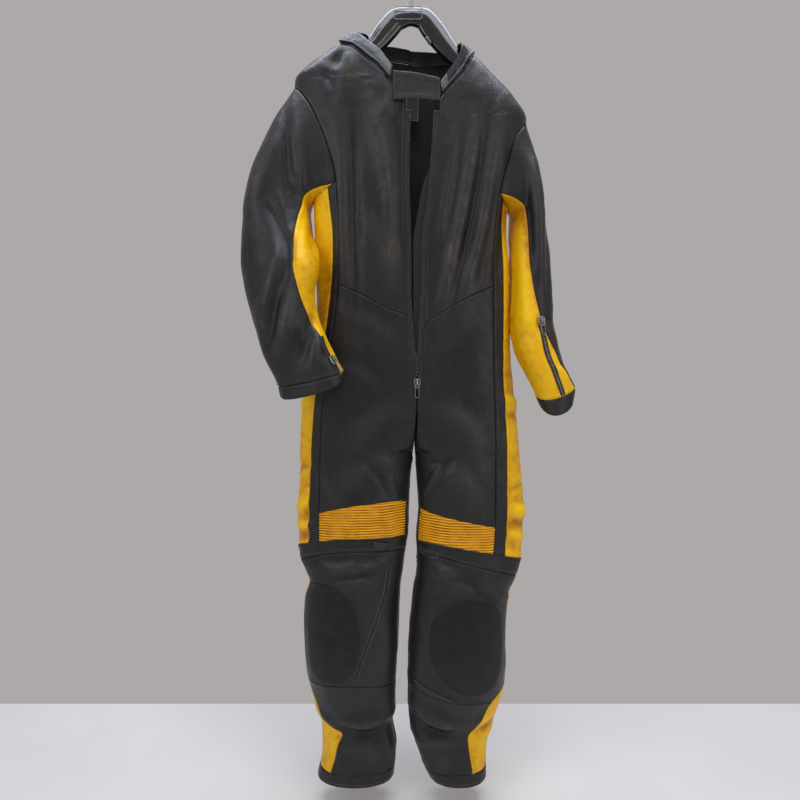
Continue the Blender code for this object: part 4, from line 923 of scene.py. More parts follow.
def sheet_mesh(name, points, outward, wear_and_shade, ring=False):
    """A mesh over a grid of points, its faces turned outward."""
    rows, columns = points.shape[:2]
    index = np.arange(rows * columns).reshape(rows, columns)
    if ring:
        index = np.concatenate([index, index[:, :1]], axis=1)
    quads = np.stack([index[:-1, :-1], index[:-1, 1:], index[1:, 1:], index[1:, :-1]], -1)
    across = points[:-1, 1:] - points[:-1, :-1]
    up = points[1:, :-1] - points[:-1, :-1]
    if np.sum(np.cross(across, up) * outward[:-1, :-1]) < 0:
        quads = quads[..., ::-1]
    mesh = bpy.data.meshes.new(name)
    mesh.from_pydata(points.reshape(-1, 3).tolist(), [], quads.reshape(-1, 4).tolist())
    # This attribute holds rubbing wear with painted light: highlight on crests, shade in hollows.
    layer = mesh.attributes.new("wear_and_shade", "FLOAT", "POINT")
    layer.data.foreach_set("value", np.ascontiguousarray(wear_and_shade, dtype=np.float32).ravel())
    work = bmesh.new()
    work.from_mesh(mesh)
    bmesh.ops.remove_doubles(work, verts=work.verts, dist=0.00012)
    bmesh.ops.dissolve_degenerate(work, edges=work.edges, dist=0.00005)
    work.to_mesh(mesh)
    work.free()
    mesh.shade_smooth()
    return mesh


def close_up(mesh, sides=0):
    """Fill open ends of up to so many sides and turn the faces outward."""
    work = bmesh.new()
    work.from_mesh(mesh)
    if sides:
        rim = [edge for edge in work.edges if edge.is_boundary]
        bmesh.ops.holes_fill(work, edges=rim, sides=sides)
    bmesh.ops.recalc_face_normals(work, faces=work.faces)
    work.to_mesh(mesh)
    work.free()


def add_piece(name, mesh, finish, body="root"):
    """An object in the scene that rides on a body."""
    made = bpy.data.objects.new(name, mesh)
    bpy.context.scene.collection.objects.link(made)
    made.data.materials.append(finish)
    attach(made, body)
    return made


FLAT_SIZES = {}


def add_sheet(name, points, outward, wear_and_shade, finish, node, ring=False,
              thick=LEATHER, inside=LINING, flat=None):
    """A sheet of leather with its lining, standing for one CAD node."""
    made = add_piece(f"cut_{name}", sheet_mesh(f"cut_{name}", points, outward, wear_and_shade, ring),
                     finish)
    made.data.materials.append(inside)
    wall = made.modifiers.new("leather thickness", "SOLIDIFY")
    wall.thickness = thick
    wall.offset = -1
    wall.material_offset = 1
    wall.material_offset_rim = 0
    closed = np.concatenate([points, points[:, :1]], axis=1) if ring else points
    flat = closed if flat is None else flat
    across, up = lengths(flat, 1), lengths(flat, 0)
    width, length = float(across[:, -1].max()), float(up[-1].max())
    area = float(grid_area(flat))
    area = min(max(area, 0.31 * width * length), width * length)
    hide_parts(node)
    FLAT_SIZES[name] = (round(width, 3), round(length, 3), round(area, 4))
    return made


def distances(points):
    """Distance of each point of a line from its first."""
    return np.concatenate([[0], np.cumsum(np.linalg.norm(np.diff(points, axis=0), axis=1))])


def at_distances(values, at, places):
    """Values of a line at distances along it."""
    return np.stack([np.interp(places, at, values[:, k]) for k in range(3)], -1)


def facing_front(points):
    """Normals that all face the front."""
    out = np.zeros_like(points)
    out[..., 1] = -1
    return out


def grid_area(points):
    """Area of a grid of points."""
    one, two = points[1:, 1:] - points[:-1, :-1], points[1:, :-1] - points[:-1, 1:]
    return 0.5 * np.linalg.norm(np.cross(one, two), axis=-1).sum()


# %% [markdown]
# The same call makes every piece of the trunk and legs: it finds the places, raises the
# creases, tucks the seams and notes where the leather would be rubbed, where it gets a
# painted highlight and where painted shade darkens its hollows.

# %% One cut piece of the trunk or a leg
def wear_and_shade_from(height):
    """Rubbing wear and a painted highlight on what stands proud; painted shade in what sinks."""
    return np.clip(height / 0.016, -0.30, 0.40)


def body_piece(name, side, edges, lower, upper, finish, slot, hangs_from, sewn="lrdu",
               open_edges="", mirrored=None, more=None, thick=LEATHER, rise_step=None):
    """Make one cut piece from its long seams and its cross seams."""
    rough = np.linspace(0, 1, 9)
    place, z = patch_places(side, edges, lower, upper, rough, rough)
    coarse = body_point(side, place, z)
    step = FRONT_STEP if place.mean() < 0.5 else BACK_STEP
    width = lengths(coarse, 1)[:, -1].mean()
    length = lengths(coarse, 0)[-1].mean()
    share, rise = fine_shares(width, step), fine_shares(length, rise_step or step)
    place, z = patch_places(side, edges, lower, upper, share, rise)
    base = body_point(side, place, z)
    out = body_out(side, place, z)
    height = body_relief(base, place)
    if mirrored:
        other, other_z = patch_places(mirrored, edges_of_back(mirrored), lower,
                                      upper_of_back(mirrored), share, rise)
        far = body_point(mirrored, other, other_z)
        base = np.concatenate([base, far[:, -2::-1]], axis=1)
        out = np.concatenate([out, body_out(mirrored, other, other_z)[:, -2::-1]], axis=1)
        height = np.concatenate([height, body_relief(far, other)[:, -2::-1]], axis=1)
    shape = seam_shape(base, sewn, open_edges)
    # Crease hollows and tucked seams get painted shade; crests get rubbing and a painted
    # highlight.
    wear_and_shade = wear_and_shade_from(height + 0.6 * shape)
    if more is not None:
        extra, wear_and_shade = more(base, place, wear_and_shade)
        height = height + extra
    points = base + out * (height + shape)[..., None]
    add_sheet(name, points, out, wear_and_shade, finish, name, thick=thick, flat=base)
    return points


def level(value):
    """A cross seam at one height."""
    return lambda place: value + 0 * place


def seam(points):
    """A cross seam whose height follows a short table."""
    return lambda place: curve(points, place)


def edges_of_back(side):
    """The back's side seam and its middle."""
    return lambda z: (side_edge(side, z, "behind"), 1 + 0 * z)


def upper_of_back(side):
    """The back's neckline."""
    return seam(NECKLINE[side])


def inseam_reach(side, z):
    """How far the inseam piece reaches round the front, narrowing to the crotch."""
    return INSEAM_REACH[side] * np.clip((CROTCH_Z - z) / 0.05, 0, 1)


# %% [markdown]
# ## Trunk
#
# The chest pieces run from the neckline to a slanted waist seam. Their inner edges are the
# open front: the leather is folded back there into a band 9 mm wide and stitched. The back
# is one piece. Narrow black strips join the chest to the yellow sides.

# %% Chest, back, seat and sides
for side, name in SIDES.items():
    body_piece(f"front_{name}", side,
               lambda z: (0 * z, side_edge(side, z, "strip")),
               seam(WAIST_SEAM[side]), seam(NECKLINE[side]), BLACK, "black_leather", "hanger",
               sewn="rdu", open_edges="l")
body_piece("back", RIGHT, edges_of_back(RIGHT), level(WAIST_Z), upper_of_back(RIGHT), BLACK,
           "black_leather", "hanger", mirrored=LEFT)
for side, name in SIDES.items():
    foot = BAND_TOP[side][-1][1]
    body_piece(f"seat_{name}", side,
               lambda z: (seam_place(side, z, "behind"), 1 + 0 * z),
               level(foot), level(WAIST_Z), BLACK, "black_leather", "back")
    body_piece(f"side_strip_{name}", side,
               lambda z: (seam_place(side, z, "strip"),
                                     seam_place(side, z, "yellow")),
               seam(BAND_TOP[side]), lambda place: rim_height(side, place), BLACK,
               "black_leather", f"front_{name}")
    for part, low, high, above in (
            ("side", level(SIDE_SPLIT_Z), lambda place: rim_height(side, place),
             f"sleeve_inner_{name}"),
            ("thigh_side", seam(BAND_TOP[side]), level(SIDE_SPLIT_Z), f"side_{name}")):
        body_piece(f"{part}_{name}", side,
                   lambda z: (seam_place(side, z, "yellow"),
                                         seam_place(side, z, "behind")),
                   low, high, YELLOW, "yellow_leather", above)
print("trunk pieces:", len(FLAT_SIZES))


# %% [markdown]
# ## Legs
#
# Below the waist seam a trouser front runs to the ribbed panel over the knee, then come the
# knee band, the knee, the shin with its yellow calf piece, and the hem. The ribs are real
# folds: about 5.5 mm from crest to crest, wavy, and shallower where the elastic is slack.

# %% Legs
RIB_PITCH, RIB_HEIGHT = 0.0056, 0.0017


def ribs(base, place, wear_and_shade):
    """Wavy ribs across a shirred panel, and the painted shade that darkens their grooves."""
    wander = 0.0016 * uneven(base, 0.030, 11.0) + 0.0006 * uneven(base, 0.009, 5.0)
    phase = (base[..., 2] + wander) / RIB_PITCH * 2 * math.pi
    wave = np.sin(phase)
    strength = 0.75 + 0.5 * uneven(base, 0.020, 2.0)
    # The second value is painted shade, darkest in each groove.
    return RIB_HEIGHT * strength * wave, 0.36 + 0.42 * wave * strength


def leg(side, name):
    """All cut pieces of one leg."""
    def thigh(z):
        return inseam_reach(side, z), seam_place(side, z, "strip")

    def band(z):
        return inseam_reach(side, z), BAND_END + 0 * z

    def below_knee(z):
        return inseam_reach(side, z), column(CALF[side], CALF_COLUMNS, "yellow", z)

    def calf(z):
        return below_knee(z)[1], BAND_END + 0 * z

    def behind(z):
        return BAND_END + 0 * z, 1 + 0 * z

    def inseam(z):
        return 0 * z, inseam_reach(side, z)

    foot = BAND_TOP[side][-1][1]
    hem, waist = level(HEM_TOP_Z), seam(WAIST_SEAM[side])
    top, bottom = seam(BAND_TOP[side]), seam(BAND_BOTTOM[side])
    rib_top, knee_end = seam(RIB_TOP[side]), seam(KNEE_BOTTOM[side])
    black = (BLACK, "black_leather")
    for part, edges, low, high, finish, above, more in (
            ("trouser_front", thigh, rib_top, waist, black, "front", None),
            ("ribbed", thigh, top, rib_top, (RIBBED, "ribbed_stretch"), "trouser_front", ribs),
            ("knee_band", band, bottom, top, black, "ribbed", None),
            ("knee", below_knee, knee_end, bottom, black, "knee_band", None),
            ("shin", below_knee, hem, knee_end, black, "knee", None),
            ("calf_side", calf, hem, bottom, (YELLOW, "yellow_leather"), "knee_band", None),
            ("leg_back", behind, hem, level(foot), black, "seat", None),
            ("inseam", inseam, hem, level(CROTCH_Z - 0.012), black, "trouser_front", None)):
        body_piece(f"{part}_{name}", side, edges, low, high, *finish, f"{above}_{name}",
                   more=more, rise_step=0.0009 if more else None)


for side, name in SIDES.items():
    leg(side, name)
print("trunk and leg pieces:", len(FLAT_SIZES))

# %% [markdown]
# A hem is a doubled band with a thick rolled edge. It is a ring, so its sheet closes on
# itself, and it hangs a little proud of the leg.

# %% Hems
HEM_THICK = 0.0030


def rolled(points, edges="d", size=0.0016):
    """Height of a band that is doubled: full, and round at its edges."""
    gaps = from_edges(points)
    total = np.full(points.shape[:-1], 0.0008)
    for edge in edges:
        total -= size * np.exp(-(gaps[edge] / 0.0016) ** 2)
    return total + 0.0008 * uneven(points, 0.014, 6.0)


for side, name in SIDES.items():
    around = np.linspace(0, 1, 140, endpoint=False)[None, :]
    rise = fine_shares(HEM_TOP_Z - HEM_Z, 0.003)[:, None]
    z = HEM_Z + (HEM_TOP_Z - HEM_Z) * rise
    place = around + 0 * z
    base, out = body_point(side, place, z), body_out(side, place, z)
    keep = 1 - 0.5 * np.clip((HEM_TOP_Z - base[..., 2]) / 0.02, 0, 1)
    height = body_relief(base, place) * keep + rolled(base, "du")
    height = np.where(base[..., 2] < HEM_Z + 0.0001, height - 0.0006, height)
    # Painted shade in the hem's sunken rolls and creases, rubbing and a painted highlight on
    # crests.
    add_sheet(f"hem_{name}", base + out * height[..., None], out, wear_and_shade_from(height - 0.001),
              BLACK, f"hem_{name}", ring=True,
              thick=HEM_THICK)


# %% [markdown]
# ## Sleeves
#
# A sleeve is sewn to the armhole as it lies, creases and all: the first ring of the sleeve
# is pulled onto the armhole of the finished body, and the pull fades over the next ring.

# %% Sleeves
def sleeve_surface(side, angle, row, lift=0.0):
    """Points and normals of the creased sleeve."""
    angle, row = np.broadcast_arrays(np.asarray(angle, float), np.asarray(row, float))
    base, out = sewn_sleeve_point(side, angle, row), sleeve_out(side, angle, row)
    height = sleeve_relief(base, angle) * np.clip(row / 0.7, 0, 1)
    place, z = armhole_place(side, angle)
    hole = body_point(side, place, z)
    sewn = hole + body_out(side, place, z) * (body_relief(hole, place) - 0.0009)[..., None]
    pull = (sewn - hole) * (np.clip(1 - row / 0.8, 0, 1) ** 2)[..., None]
    return base + out * (height + lift)[..., None] + pull, out, height


def inner_marks(side, rows):
    """The front and back seams of the yellow inner sleeve, in radians."""
    marks = np.radians(INNER_SLEEVE[side])
    return (curve(list(enumerate(marks[:, 0])), rows), curve(list(enumerate(marks[:, 1])), rows))


for side, name in SIDES.items():
    rise = fine_shares(0.62, FRONT_STEP)[:, None]
    rows = CUFF_ROW * rise
    front, back = inner_marks(side, rows)
    for part, first, last, width, finish, slot, above in (
            ("sleeve_outer", back - 2 * math.pi, front, 0.26, BLACK, "black_leather",
             f"front_{name}"),
            ("sleeve_inner", front, back, 0.12, YELLOW, "yellow_leather", "back")):
        share = fine_shares(width, FRONT_STEP)[None, :]
        angle = first + (last - first) * share
        points, out, height = sleeve_surface(side, angle, rows)
        shape = seam_shape(points)
        # Painted shade in the sleeve's hollows and seams, rubbing and a painted highlight on
        # crests.
        add_sheet(f"{part}_{name}", points + out * shape[..., None], out,
                  wear_and_shade_from(height + 0.6 * shape), finish, f"{part}_{name}",
                  flat=points)
    around = np.linspace(0, 2 * math.pi, 110, endpoint=False)[None, :]
    cuff_rows = CUFF_ROW + fine_shares(0.022, 0.0025)[:, None]
    base = sleeve_point(side, around, cuff_rows)
    out = sleeve_out(side, np.broadcast_to(around, base.shape[:2]),
                     np.clip(cuff_rows + 0 * around, 0, CUFF_ROW + 0.95))
    height = sleeve_relief(base, around + 0 * cuff_rows) * 0.6 + rolled(base, "du", 0.0020)
    # The cuff's rolled edges and creases carry painted shade where they sink.
    add_sheet(f"cuff_{name}", base + out * height[..., None], out, wear_and_shade_from(height), BLACK,
              f"cuff_{name}", ring=True, thick=0.0030)
print("sheets:", len(FLAT_SIZES))

# %% [markdown]
# ## What is sewn on
#
# Everything that lies on the suit is placed on the same creased surface, lifted by its own
# thickness. Lines along a seam are found by stepping a few millimetres round the section.

# %% Places on the creased surface
def on_body(side, place, z, lift=0.0):
    """Points and normals of the creased trunk or leg, lifted a little."""
    place, z = np.broadcast_arrays(np.asarray(place, float), np.asarray(z, float))
    base, out = body_point(side, place, z), body_out(side, place, z)
    return base + out * (body_relief(base, place) + lift)[..., None], out


def round_step(side, z, distance):
    """A distance round the section, in metres, as a change of place."""
    edge, out = (column(BODY[side], BODY_COLUMNS, n, z) for n in ("edge", "out"))
    return distance / (2.0 * np.abs(out - edge) + 0.06)


def long_line(side, seam_at, top, bottom, beside, lift=0.0007):
    """A line up and down the body, beside a long seam."""
    z = np.linspace(bottom, top, max(8, int((top - bottom) / 0.004)))
    return on_body(side, seam_at(z) + round_step(side, z, beside), z, lift)


def cross_line(side, height, first, last, above, lift=0.0007):
    """A line round the body, above or below a cross seam."""
    place = np.linspace(first, last, max(8, int((last - first) * 130)))
    return on_body(side, place, height(place) + above, lift)


def across_front(side, points, lift=0.0007):
    """A line through (x, z) points on the front of a leg or the trunk."""
    points = np.array(points)
    at = distances(points)
    fine = np.linspace(0, at[-1], max(8, int(at[-1] / 0.004)))
    x, z = (curve(list(zip(at, points[:, k])), fine) for k in (0, 1))
    return on_body(side, place_of_x(side, z, x), z, lift)


# %% [markdown]
# ### Stitches
#
# Topstitching is what makes leather look sewn. Each stitch is a small spindle 3.2 mm long,
# laid along a line at 4.4 mm. Real thread is about 0.5 mm thick; here it is 0.9 mm, so that
# it shows. All stitches of one thread are joined in one mesh.

# %% Stitches
STITCH_PITCH, STITCH_LONG, THREAD_THICK = 0.0044, 0.0032, 0.0009
stitch_corners = {thread: [] for thread in THREAD}
stitch_random = np.random.default_rng(12)


def stitch(line, thread="dark"):
    """Lay stitches along a line of points and normals."""
    points, out = line
    at = distances(points)
    count = int(at[-1] / STITCH_PITCH)
    if count < 1:
        return
    middle = (np.arange(count) + 0.5) * STITCH_PITCH
    ends = [at_distances(points, at, middle + half)
            for half in (-STITCH_LONG / 2, STITCH_LONG / 2)]
    normal = unit(at_distances(out, at, middle))
    along = unit(ends[1] - ends[0])
    beside = np.cross(along, normal)
    centre = (ends[0] + ends[1]) / 2 + beside * stitch_random.normal(0, 0.00012, (count, 1))
    half = THREAD_THICK / 2
    ring = [centre + beside * half, centre + normal * half, centre - beside * half,
            centre - normal * half]
    sunk = normal * half * 0.9
    stitch_corners[thread].append(np.stack([ends[0] - sunk, ends[1] - sunk, *ring], axis=1))


def add_stitches(thread):
    """Join the stitches of one thread into a piece."""
    corners = np.concatenate(stitch_corners[thread])
    faces = [(0, 2, 3), (0, 3, 4), (0, 4, 5), (0, 5, 2),
             (1, 3, 2), (1, 4, 3), (1, 5, 4), (1, 2, 5)]
    index = np.arange(len(corners))[:, None, None] * 6 + np.array(faces)[None]
    mesh = bpy.data.meshes.new(f"stitches_{thread}")
    mesh.from_pydata(corners.reshape(-1, 3).tolist(), [], index.reshape(-1, 3).tolist())
    mesh.shade_smooth()
    made = add_piece(f"stitches_{thread}", mesh, THREAD[thread])
    print(f"{thread} thread: {len(corners)} stitches")


# %% Where the suit is stitched
BAND_Z = -1.160                          # long lines of the thigh end over the knee band
CALF_LINES = (-1.262, -1.704)            # and start again below it, down to the hem

for side, name in SIDES.items():
    neck_z = NECKLINE[side][0][1]
    hole = ARMHOLE[side]
    stitch(long_line(side, lambda z: 0 * z, neck_z - 0.012, -0.838, 0.0075, 0.0012))
    stitch(long_line(side, lambda z: 0 * z, -0.846, -0.965, 0.0035))
    corner = hole["corner"]
    for line, top, beside, thread in (
            ("strip", corner, -0.0045, "dark"), ("strip", corner, 0.0045, "dark"),
            ("yellow", corner - 0.006, -0.0040, "dark"),
            ("yellow", corner - 0.006, 0.0040, "gold"),
            ("behind", corner - 0.006, 0.0045, "dark")):
        stitch(long_line(side, lambda z: seam_place(side, z, line), top, BAND_Z, beside), thread)
    for beside, thread in ((-0.0042, "dark"), (0.0042, "gold")):
        stitch(long_line(side, lambda z: column(CALF[side], CALF_COLUMNS, "yellow", z),
                         *CALF_LINES, beside), thread)
    stitch(long_line(side, lambda z: BAND_END + 0 * z, *CALF_LINES, 0.0045))
    waist_end, rib_end = (float(seam_place(side, z, "strip")) - 0.01 for z in (-0.64, -1.12))
    for height, first, last, above in (
            (seam(WAIST_SEAM[side]), 0.02, waist_end, -0.0045),
            (seam(WAIST_SEAM[side]), 0.02, waist_end, 0.0045),
            (seam(RIB_TOP[side]), 0.07, rib_end, 0.0045),
            (seam(BAND_TOP[side]), 0.07, 0.585, -0.0045),
            (seam(BAND_BOTTOM[side]), 0.07, 0.44, -0.0045),
            (seam(KNEE_BOTTOM[side]), 0.07, 0.44, 0.0045),
            (level(WAIST_Z), 0.62, 1.0, -0.0045), (level(HEM_TOP_Z), 0.0, 1.0, 0.0040)):
        stitch(cross_line(side, height, first, last, above))
    stitch(cross_line(side, level(HEM_Z), 0.0, 1.0, 0.0085, 0.0016), "pale")
    stitch(long_line(side, lambda z: side_edge(side, z, "strip"), hole["top"] - 0.008, corner,
                     -0.0050), "brown" if side == RIGHT else "dark")
    row = np.linspace(0.35, CUFF_ROW - 0.1, 150)
    for mark, inward in zip(inner_marks(side, row), (0.085, -0.085)):
        for off, thread in ((-inward, "dark"), (inward, "gold")):
            stitch(sleeve_surface(side, mark + off, row, 0.0008)[:2], thread)
    angle = np.linspace(0, 2 * math.pi, 120)
    stitch(sleeve_surface(side, angle, CUFF_ROW - 0.10 + 0 * angle, 0.0010)[:2])


# %% [markdown]
# ### Welts
#
# A welt is a narrow folded strip stitched over a seam. Two cross the knees slantwise, one
# edges each knee band. Each is a low rounded ribbon that follows the surface.

# %% Welts and piping
def ribbon_mesh(name, points, out, width, tall, around=9, ragged=0.0):
    """A low rounded ribbon along a line, closed underneath."""
    along = unit(np.gradient(points, axis=0))
    beside = unit(np.cross(along, out))
    turn = np.linspace(0, 2 * math.pi, around, endpoint=False)[None, :, None]
    wobble = 1 + ragged * uneven(points, 0.012, 1.0)[:, None, None]
    section = (beside[:, None] * np.cos(turn) * width / 2
               + out[:, None] * np.sin(turn) * tall / 2) * wobble
    ends = np.ones(len(points))
    ends[0] = ends[-1] = 0.25
    rings = points[:, None] + section * ends[:, None, None]
    mesh = sheet_mesh(name, rings, section, np.full(rings.shape[:2], 0.1), ring=True)
    close_up(mesh, around)
    return mesh


def add_ribbon(name, line, width, tall, finish, ragged=0.06):
    """A ribbon piece along a line of points and normals."""
    points, out = line
    made = add_piece(name, ribbon_mesh(name, points, out, width, tall, ragged=ragged), finish)
    return made


DIAGONALS = {
    RIGHT: (((-0.045, -1.222), (-0.051, -1.262), (-0.072, -1.330), (-0.098, -1.402),
             (-0.120, -1.472)),),
    LEFT: (((0.010, -1.472), (0.054, -1.492), (0.100, -1.516)),),
}
for side, name in SIDES.items():
    for k, line in enumerate(DIAGONALS[side]):
        add_ribbon(f"knee_welt_{name}_{k}", across_front(side, line, 0.0006), 0.0042, 0.0022,
                   BLACK)
        points, out = across_front(side, line, 0.0010)
        beside = unit(np.cross(np.gradient(points, axis=0), out)) * 0.0042
        stitch((points + beside, out), "pale")
        stitch((points - beside, out), "pale" if side == RIGHT else "dark")
    add_ribbon(f"band_piping_{name}", cross_line(side, seam(BAND_TOP[side]), 0.055, 0.590, 0.0,
                                                 0.0008), 0.0040, 0.0034, BLACK)
    add_ribbon(f"band_zip_{name}", cross_line(side, seam(BAND_BOTTOM[side]), 0.060, 0.43, 0.006,
                                              0.0006), 0.0046, 0.0016, TAPE)

BAND_BOX = ((0.019, -1.186), (0.056, -1.188), (0.056, -1.199), (0.019, -1.197), (0.019, -1.186))
for start, end in zip(BAND_BOX, BAND_BOX[1:]):
    stitch(across_front(LEFT, (start, end), 0.0014), "pale")


# %% [markdown]
# The end of the right knee band is a small rounded tab that curls away from the leg. It is
# a short sheet with a free edge.

# %% The band's tab
def small_sheet(name, points, outward, finish, node=None, thick=0.0016,
                wear_and_shade=0.05, flat=None):
    """A small sheet of leather or tape, which may stand for a CAD node."""
    mesh = sheet_mesh(name, points, outward, np.full(points.shape[:2], wear_and_shade))
    made = add_piece(name, mesh, finish)
    wall = made.modifiers.new("thickness", "SOLIDIFY")
    wall.thickness = thick
    wall.offset = -1
    across, up = lengths(points, 1), lengths(points, 0)
    width, length = float(across[:, -1].max()), float(up[-1].max())
    width, length = flat or (max(width, 0.0102), max(length, 0.0102))
    area = min(max(grid_area(points), 0.31 * width * length), width * length)
    if node:
        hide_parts(node)
    FLAT_SIZES[name] = (round(width, 3), round(length, 3), round(float(area), 4))
    return made


share, rise = np.meshgrid(np.linspace(0, 1, 16), np.linspace(0, 1, 10))
tab_x = -0.078 + 0.030 * share
tab_z = -1.164 - 0.006 * share - 0.019 * rise * (1 - 0.25 * share ** 3)
points, out = on_body(RIGHT, place_of_x(RIGHT, tab_z, tab_x), tab_z, 0.0028)
points = points + out * (0.0050 * share ** 2.2 * (1 - rise) + 0.0012 * np.sin(5 * rise))[..., None]
small_sheet("band_tab", points, out, BLACK,
            wear_and_shade=0.25)


# %% [markdown]
# ## Knee pads
#
# A knee pad is an oval of foam faced with hook-and-loop pile, sewn on at its rim, and a
# plastic slider would stick to it. It crowns a little in the middle and dips at the rim.

# %% Knee pads
PAD_THICK, PAD_RINGS, PAD_SPOKES = 0.0046, 22, 120


def closed_curve(points, count):
    """A smooth closed line through points."""
    points = np.array(points)
    many = np.concatenate([points] * 3)
    at = distances(many)
    start, end = at[len(points)], at[2 * len(points)]
    fine = np.linspace(start, end, count, endpoint=False)
    return np.stack([curve(list(zip(at, many[:, k])), fine) for k in (0, 1)], -1)


def relax(line, rounds=3):
    """Round a closed line off by averaging each point with its neighbours."""
    for _ in range(rounds):
        line = (np.roll(line, 1, axis=0) + 2 * line + np.roll(line, -1, axis=0)) / 4
    return line


def knee_pad(side, name):
    """One pad with its rim dipped to the leather."""
    outline = relax(closed_curve(PAD_OUTLINE[side], PAD_SPOKES), 12)
    middle = outline.mean(axis=0)
    ring = (np.arange(PAD_RINGS) / (PAD_RINGS - 1)) ** 0.75
    flat = middle + (outline - middle)[None] * ring[:, None, None]
    x, z = flat[..., 0], flat[..., 1]
    gap = (1 - ring[:, None]) * np.linalg.norm(outline - middle, axis=1)[None]
    edge = np.sqrt(np.clip(gap / 0.0045, 0, 1) * (2 - np.clip(gap / 0.0045, 0, 1)))
    place = place_of_x(side, z, x)
    points, out = on_body(side, place, z, 0.0)
    seam_line = np.array(PAD_SEAM[side])
    at = np.interp(x * side, np.sort(seam_line[:, 0] * side),
                   seam_line[np.argsort(seam_line[:, 0] * side), 1])
    inside = (x * side > (seam_line[:, 0] * side).min()) * (x * side
                                                            < (seam_line[:, 0] * side).max())
    groove = 0.0011 * np.exp(-((z - at) / 0.0016) ** 2) * inside
    lift = 0.0018 + (PAD_THICK - 0.0018) * edge + 0.0005 * uneven(points, 0.020, 8.0) - groove
    top = points + out * lift[..., None]
    mesh = sheet_mesh(f"pad_{name}", top, out, np.zeros(top.shape[:2]), ring=True)
    made = add_piece(f"pad_{name}", mesh, PILE)
    wall = made.modifiers.new("pad thickness", "SOLIDIFY")
    wall.thickness = 0.0024
    wall.offset = -1
    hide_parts(f"knee_pad_{name}")
    rim = np.concatenate([outline, outline[:1]])
    rim = middle + (rim - middle) * 0.955
    stitch(on_body(side, place_of_x(side, rim[:, 1], rim[:, 0]), rim[:, 1], PAD_THICK + 0.0002))


for side, name in SIDES.items():
    knee_pad(side, name)


# %% [markdown]
# ## Collar, closure and label
#
# The stand collar is a soft band, worn and cracked at its fold. A roll of piping hides its
# seam. A stitched tab crosses the throat and is held by a patch of pile, whose edge frays.

# %% Collar
collar_up = fine_shares(0.038, 0.0028)[:, None]
right_u = np.concatenate([np.linspace(0.125, 0.5, 46), np.linspace(0.5, 1, 40)[1:]])
left_u = np.concatenate([np.linspace(0.0625, 0.5, 52), np.linspace(0.5, 1, 40)[1:]])


def collar_side(side, places):
    """Points of half a collar, its first line drawn to the neckline."""
    base = collar_point(side, places[None, :], collar_up)
    line = neck_point(side, places)
    sewn, _ = on_body(side, places, line[..., 2], -0.001)
    return base + (sewn - line)[None] * ((1 - collar_up) ** 2)[..., None]


collar = np.concatenate([collar_side(RIGHT, right_u), collar_side(LEFT, left_u)[:, -2::-1]], 1)
collar_out = unit(np.cross(np.gradient(collar, axis=1), np.gradient(collar, axis=0)))
collar_out *= np.sign(np.sum(collar_out * (collar - np.array([0.01, 0.0, -0.19]))))
cracks = uneven(collar * np.array([1, 1, 2.2]), 0.011, 2.0)
swell = 0.0016 * np.sin(math.pi * collar_up) + 0.0011 * cracks
swell = swell - 0.0014 * np.exp(-(collar_up * 0.038 / 0.0030) ** 2)
swell = swell - 0.0016 * np.exp(-((1 - collar_up) * 0.038 / 0.0022) ** 2)
add_sheet("collar", collar + collar_out * swell[..., None], collar_out,
          np.clip(0.10 + 0.30 * cracks, -0.2, 0.5), BLACK, "collar",
          thick=0.0030, flat=collar)
ring = 4
piping = ribbon_mesh("neck_piping", collar[ring] + collar_out[ring] * 0.0030, collar_out[ring],
                     0.0046, 0.0042, ragged=0.08)
piping = add_piece("neck_piping", piping, BLACK)
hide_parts("collar_piping")
for k, lift in ((7, 0.0026), (len(collar_up) - 5, 0.0008)):
    stitch((collar[k] + collar_out[k] * lift, collar_out[k]))

# %% Closure tab
TAB = {"x": -0.036, "width": 0.092, "bottom": -0.286, "drop": -0.002, "tall": 0.054,
       "taper": -0.012, "y": -0.0765, "bulge": 0.006}
share, rise = np.meshgrid(fine_shares(TAB["width"], 0.003), fine_shares(TAB["tall"], 0.003))
tab_z = TAB["bottom"] + TAB["drop"] * share + (TAB["tall"] + TAB["taper"] * share) * rise
corner = 0.0035 * (np.clip((share - 0.93) / 0.07, 0, 1) ** 2)
tab_z = tab_z + corner * (0.5 - rise) * 2
tab_y = TAB["y"] - TAB["bulge"] * np.sin(math.pi * share)
tab = np.stack([TAB["x"] + TAB["width"] * share, tab_y, tab_z], -1)
forward = facing_front(tab)
shape = seam_shape(tab, "", "lrdu") * 0.8 + 0.0012 * uneven(tab, 0.030, 5.0)
tab = tab + forward * shape[..., None]
small_sheet("throat_tab", tab, forward, BLACK, "closure_tab", 0.0024,
            0.22)
for line in (tab[6], tab[-7], tab[:, -6]):
    stitch((line + [0, -0.0006, 0], facing_front(line)))
line = tab[-2]
stitch((line + [0, -0.0004, 0], facing_front(line)), "pale")

# %% Hook patch and its fraying edge
patch_columns = slice(-30, -7)
patch = (collar + collar_out * 0.0036)[8:-3, patch_columns]
patch_out = collar_out[8:-3, patch_columns]
small_sheet("hook_patch_pile", patch, patch_out, PILE, "hook_patch", 0.0012,
            0.0)
fray = np.random.default_rng(5)
frays = []
for start, away in zip(patch[0], patch_out[0]):
    for _ in range(2):
        tip = start + away * fray.uniform(0.001, 0.003) + fray.normal(0, 0.0022, 3)
        tip[2] = start[2] - fray.uniform(0.001, 0.006)
        frays.append((np.linspace(start, (start + tip) / 2 + away * 0.001, 4), tip))
for k, (root, tip) in enumerate(frays):
    path = np.concatenate([root, tip[None]])
    stitch_corners["pale"].append(np.stack([
        path[0], path[-1], path[2] + [0.0002, 0, 0], path[2] + [0, -0.0002, 0],
        path[2] - [0.0002, 0, 0], path[2] + [0, 0.0002, 0]])[None])

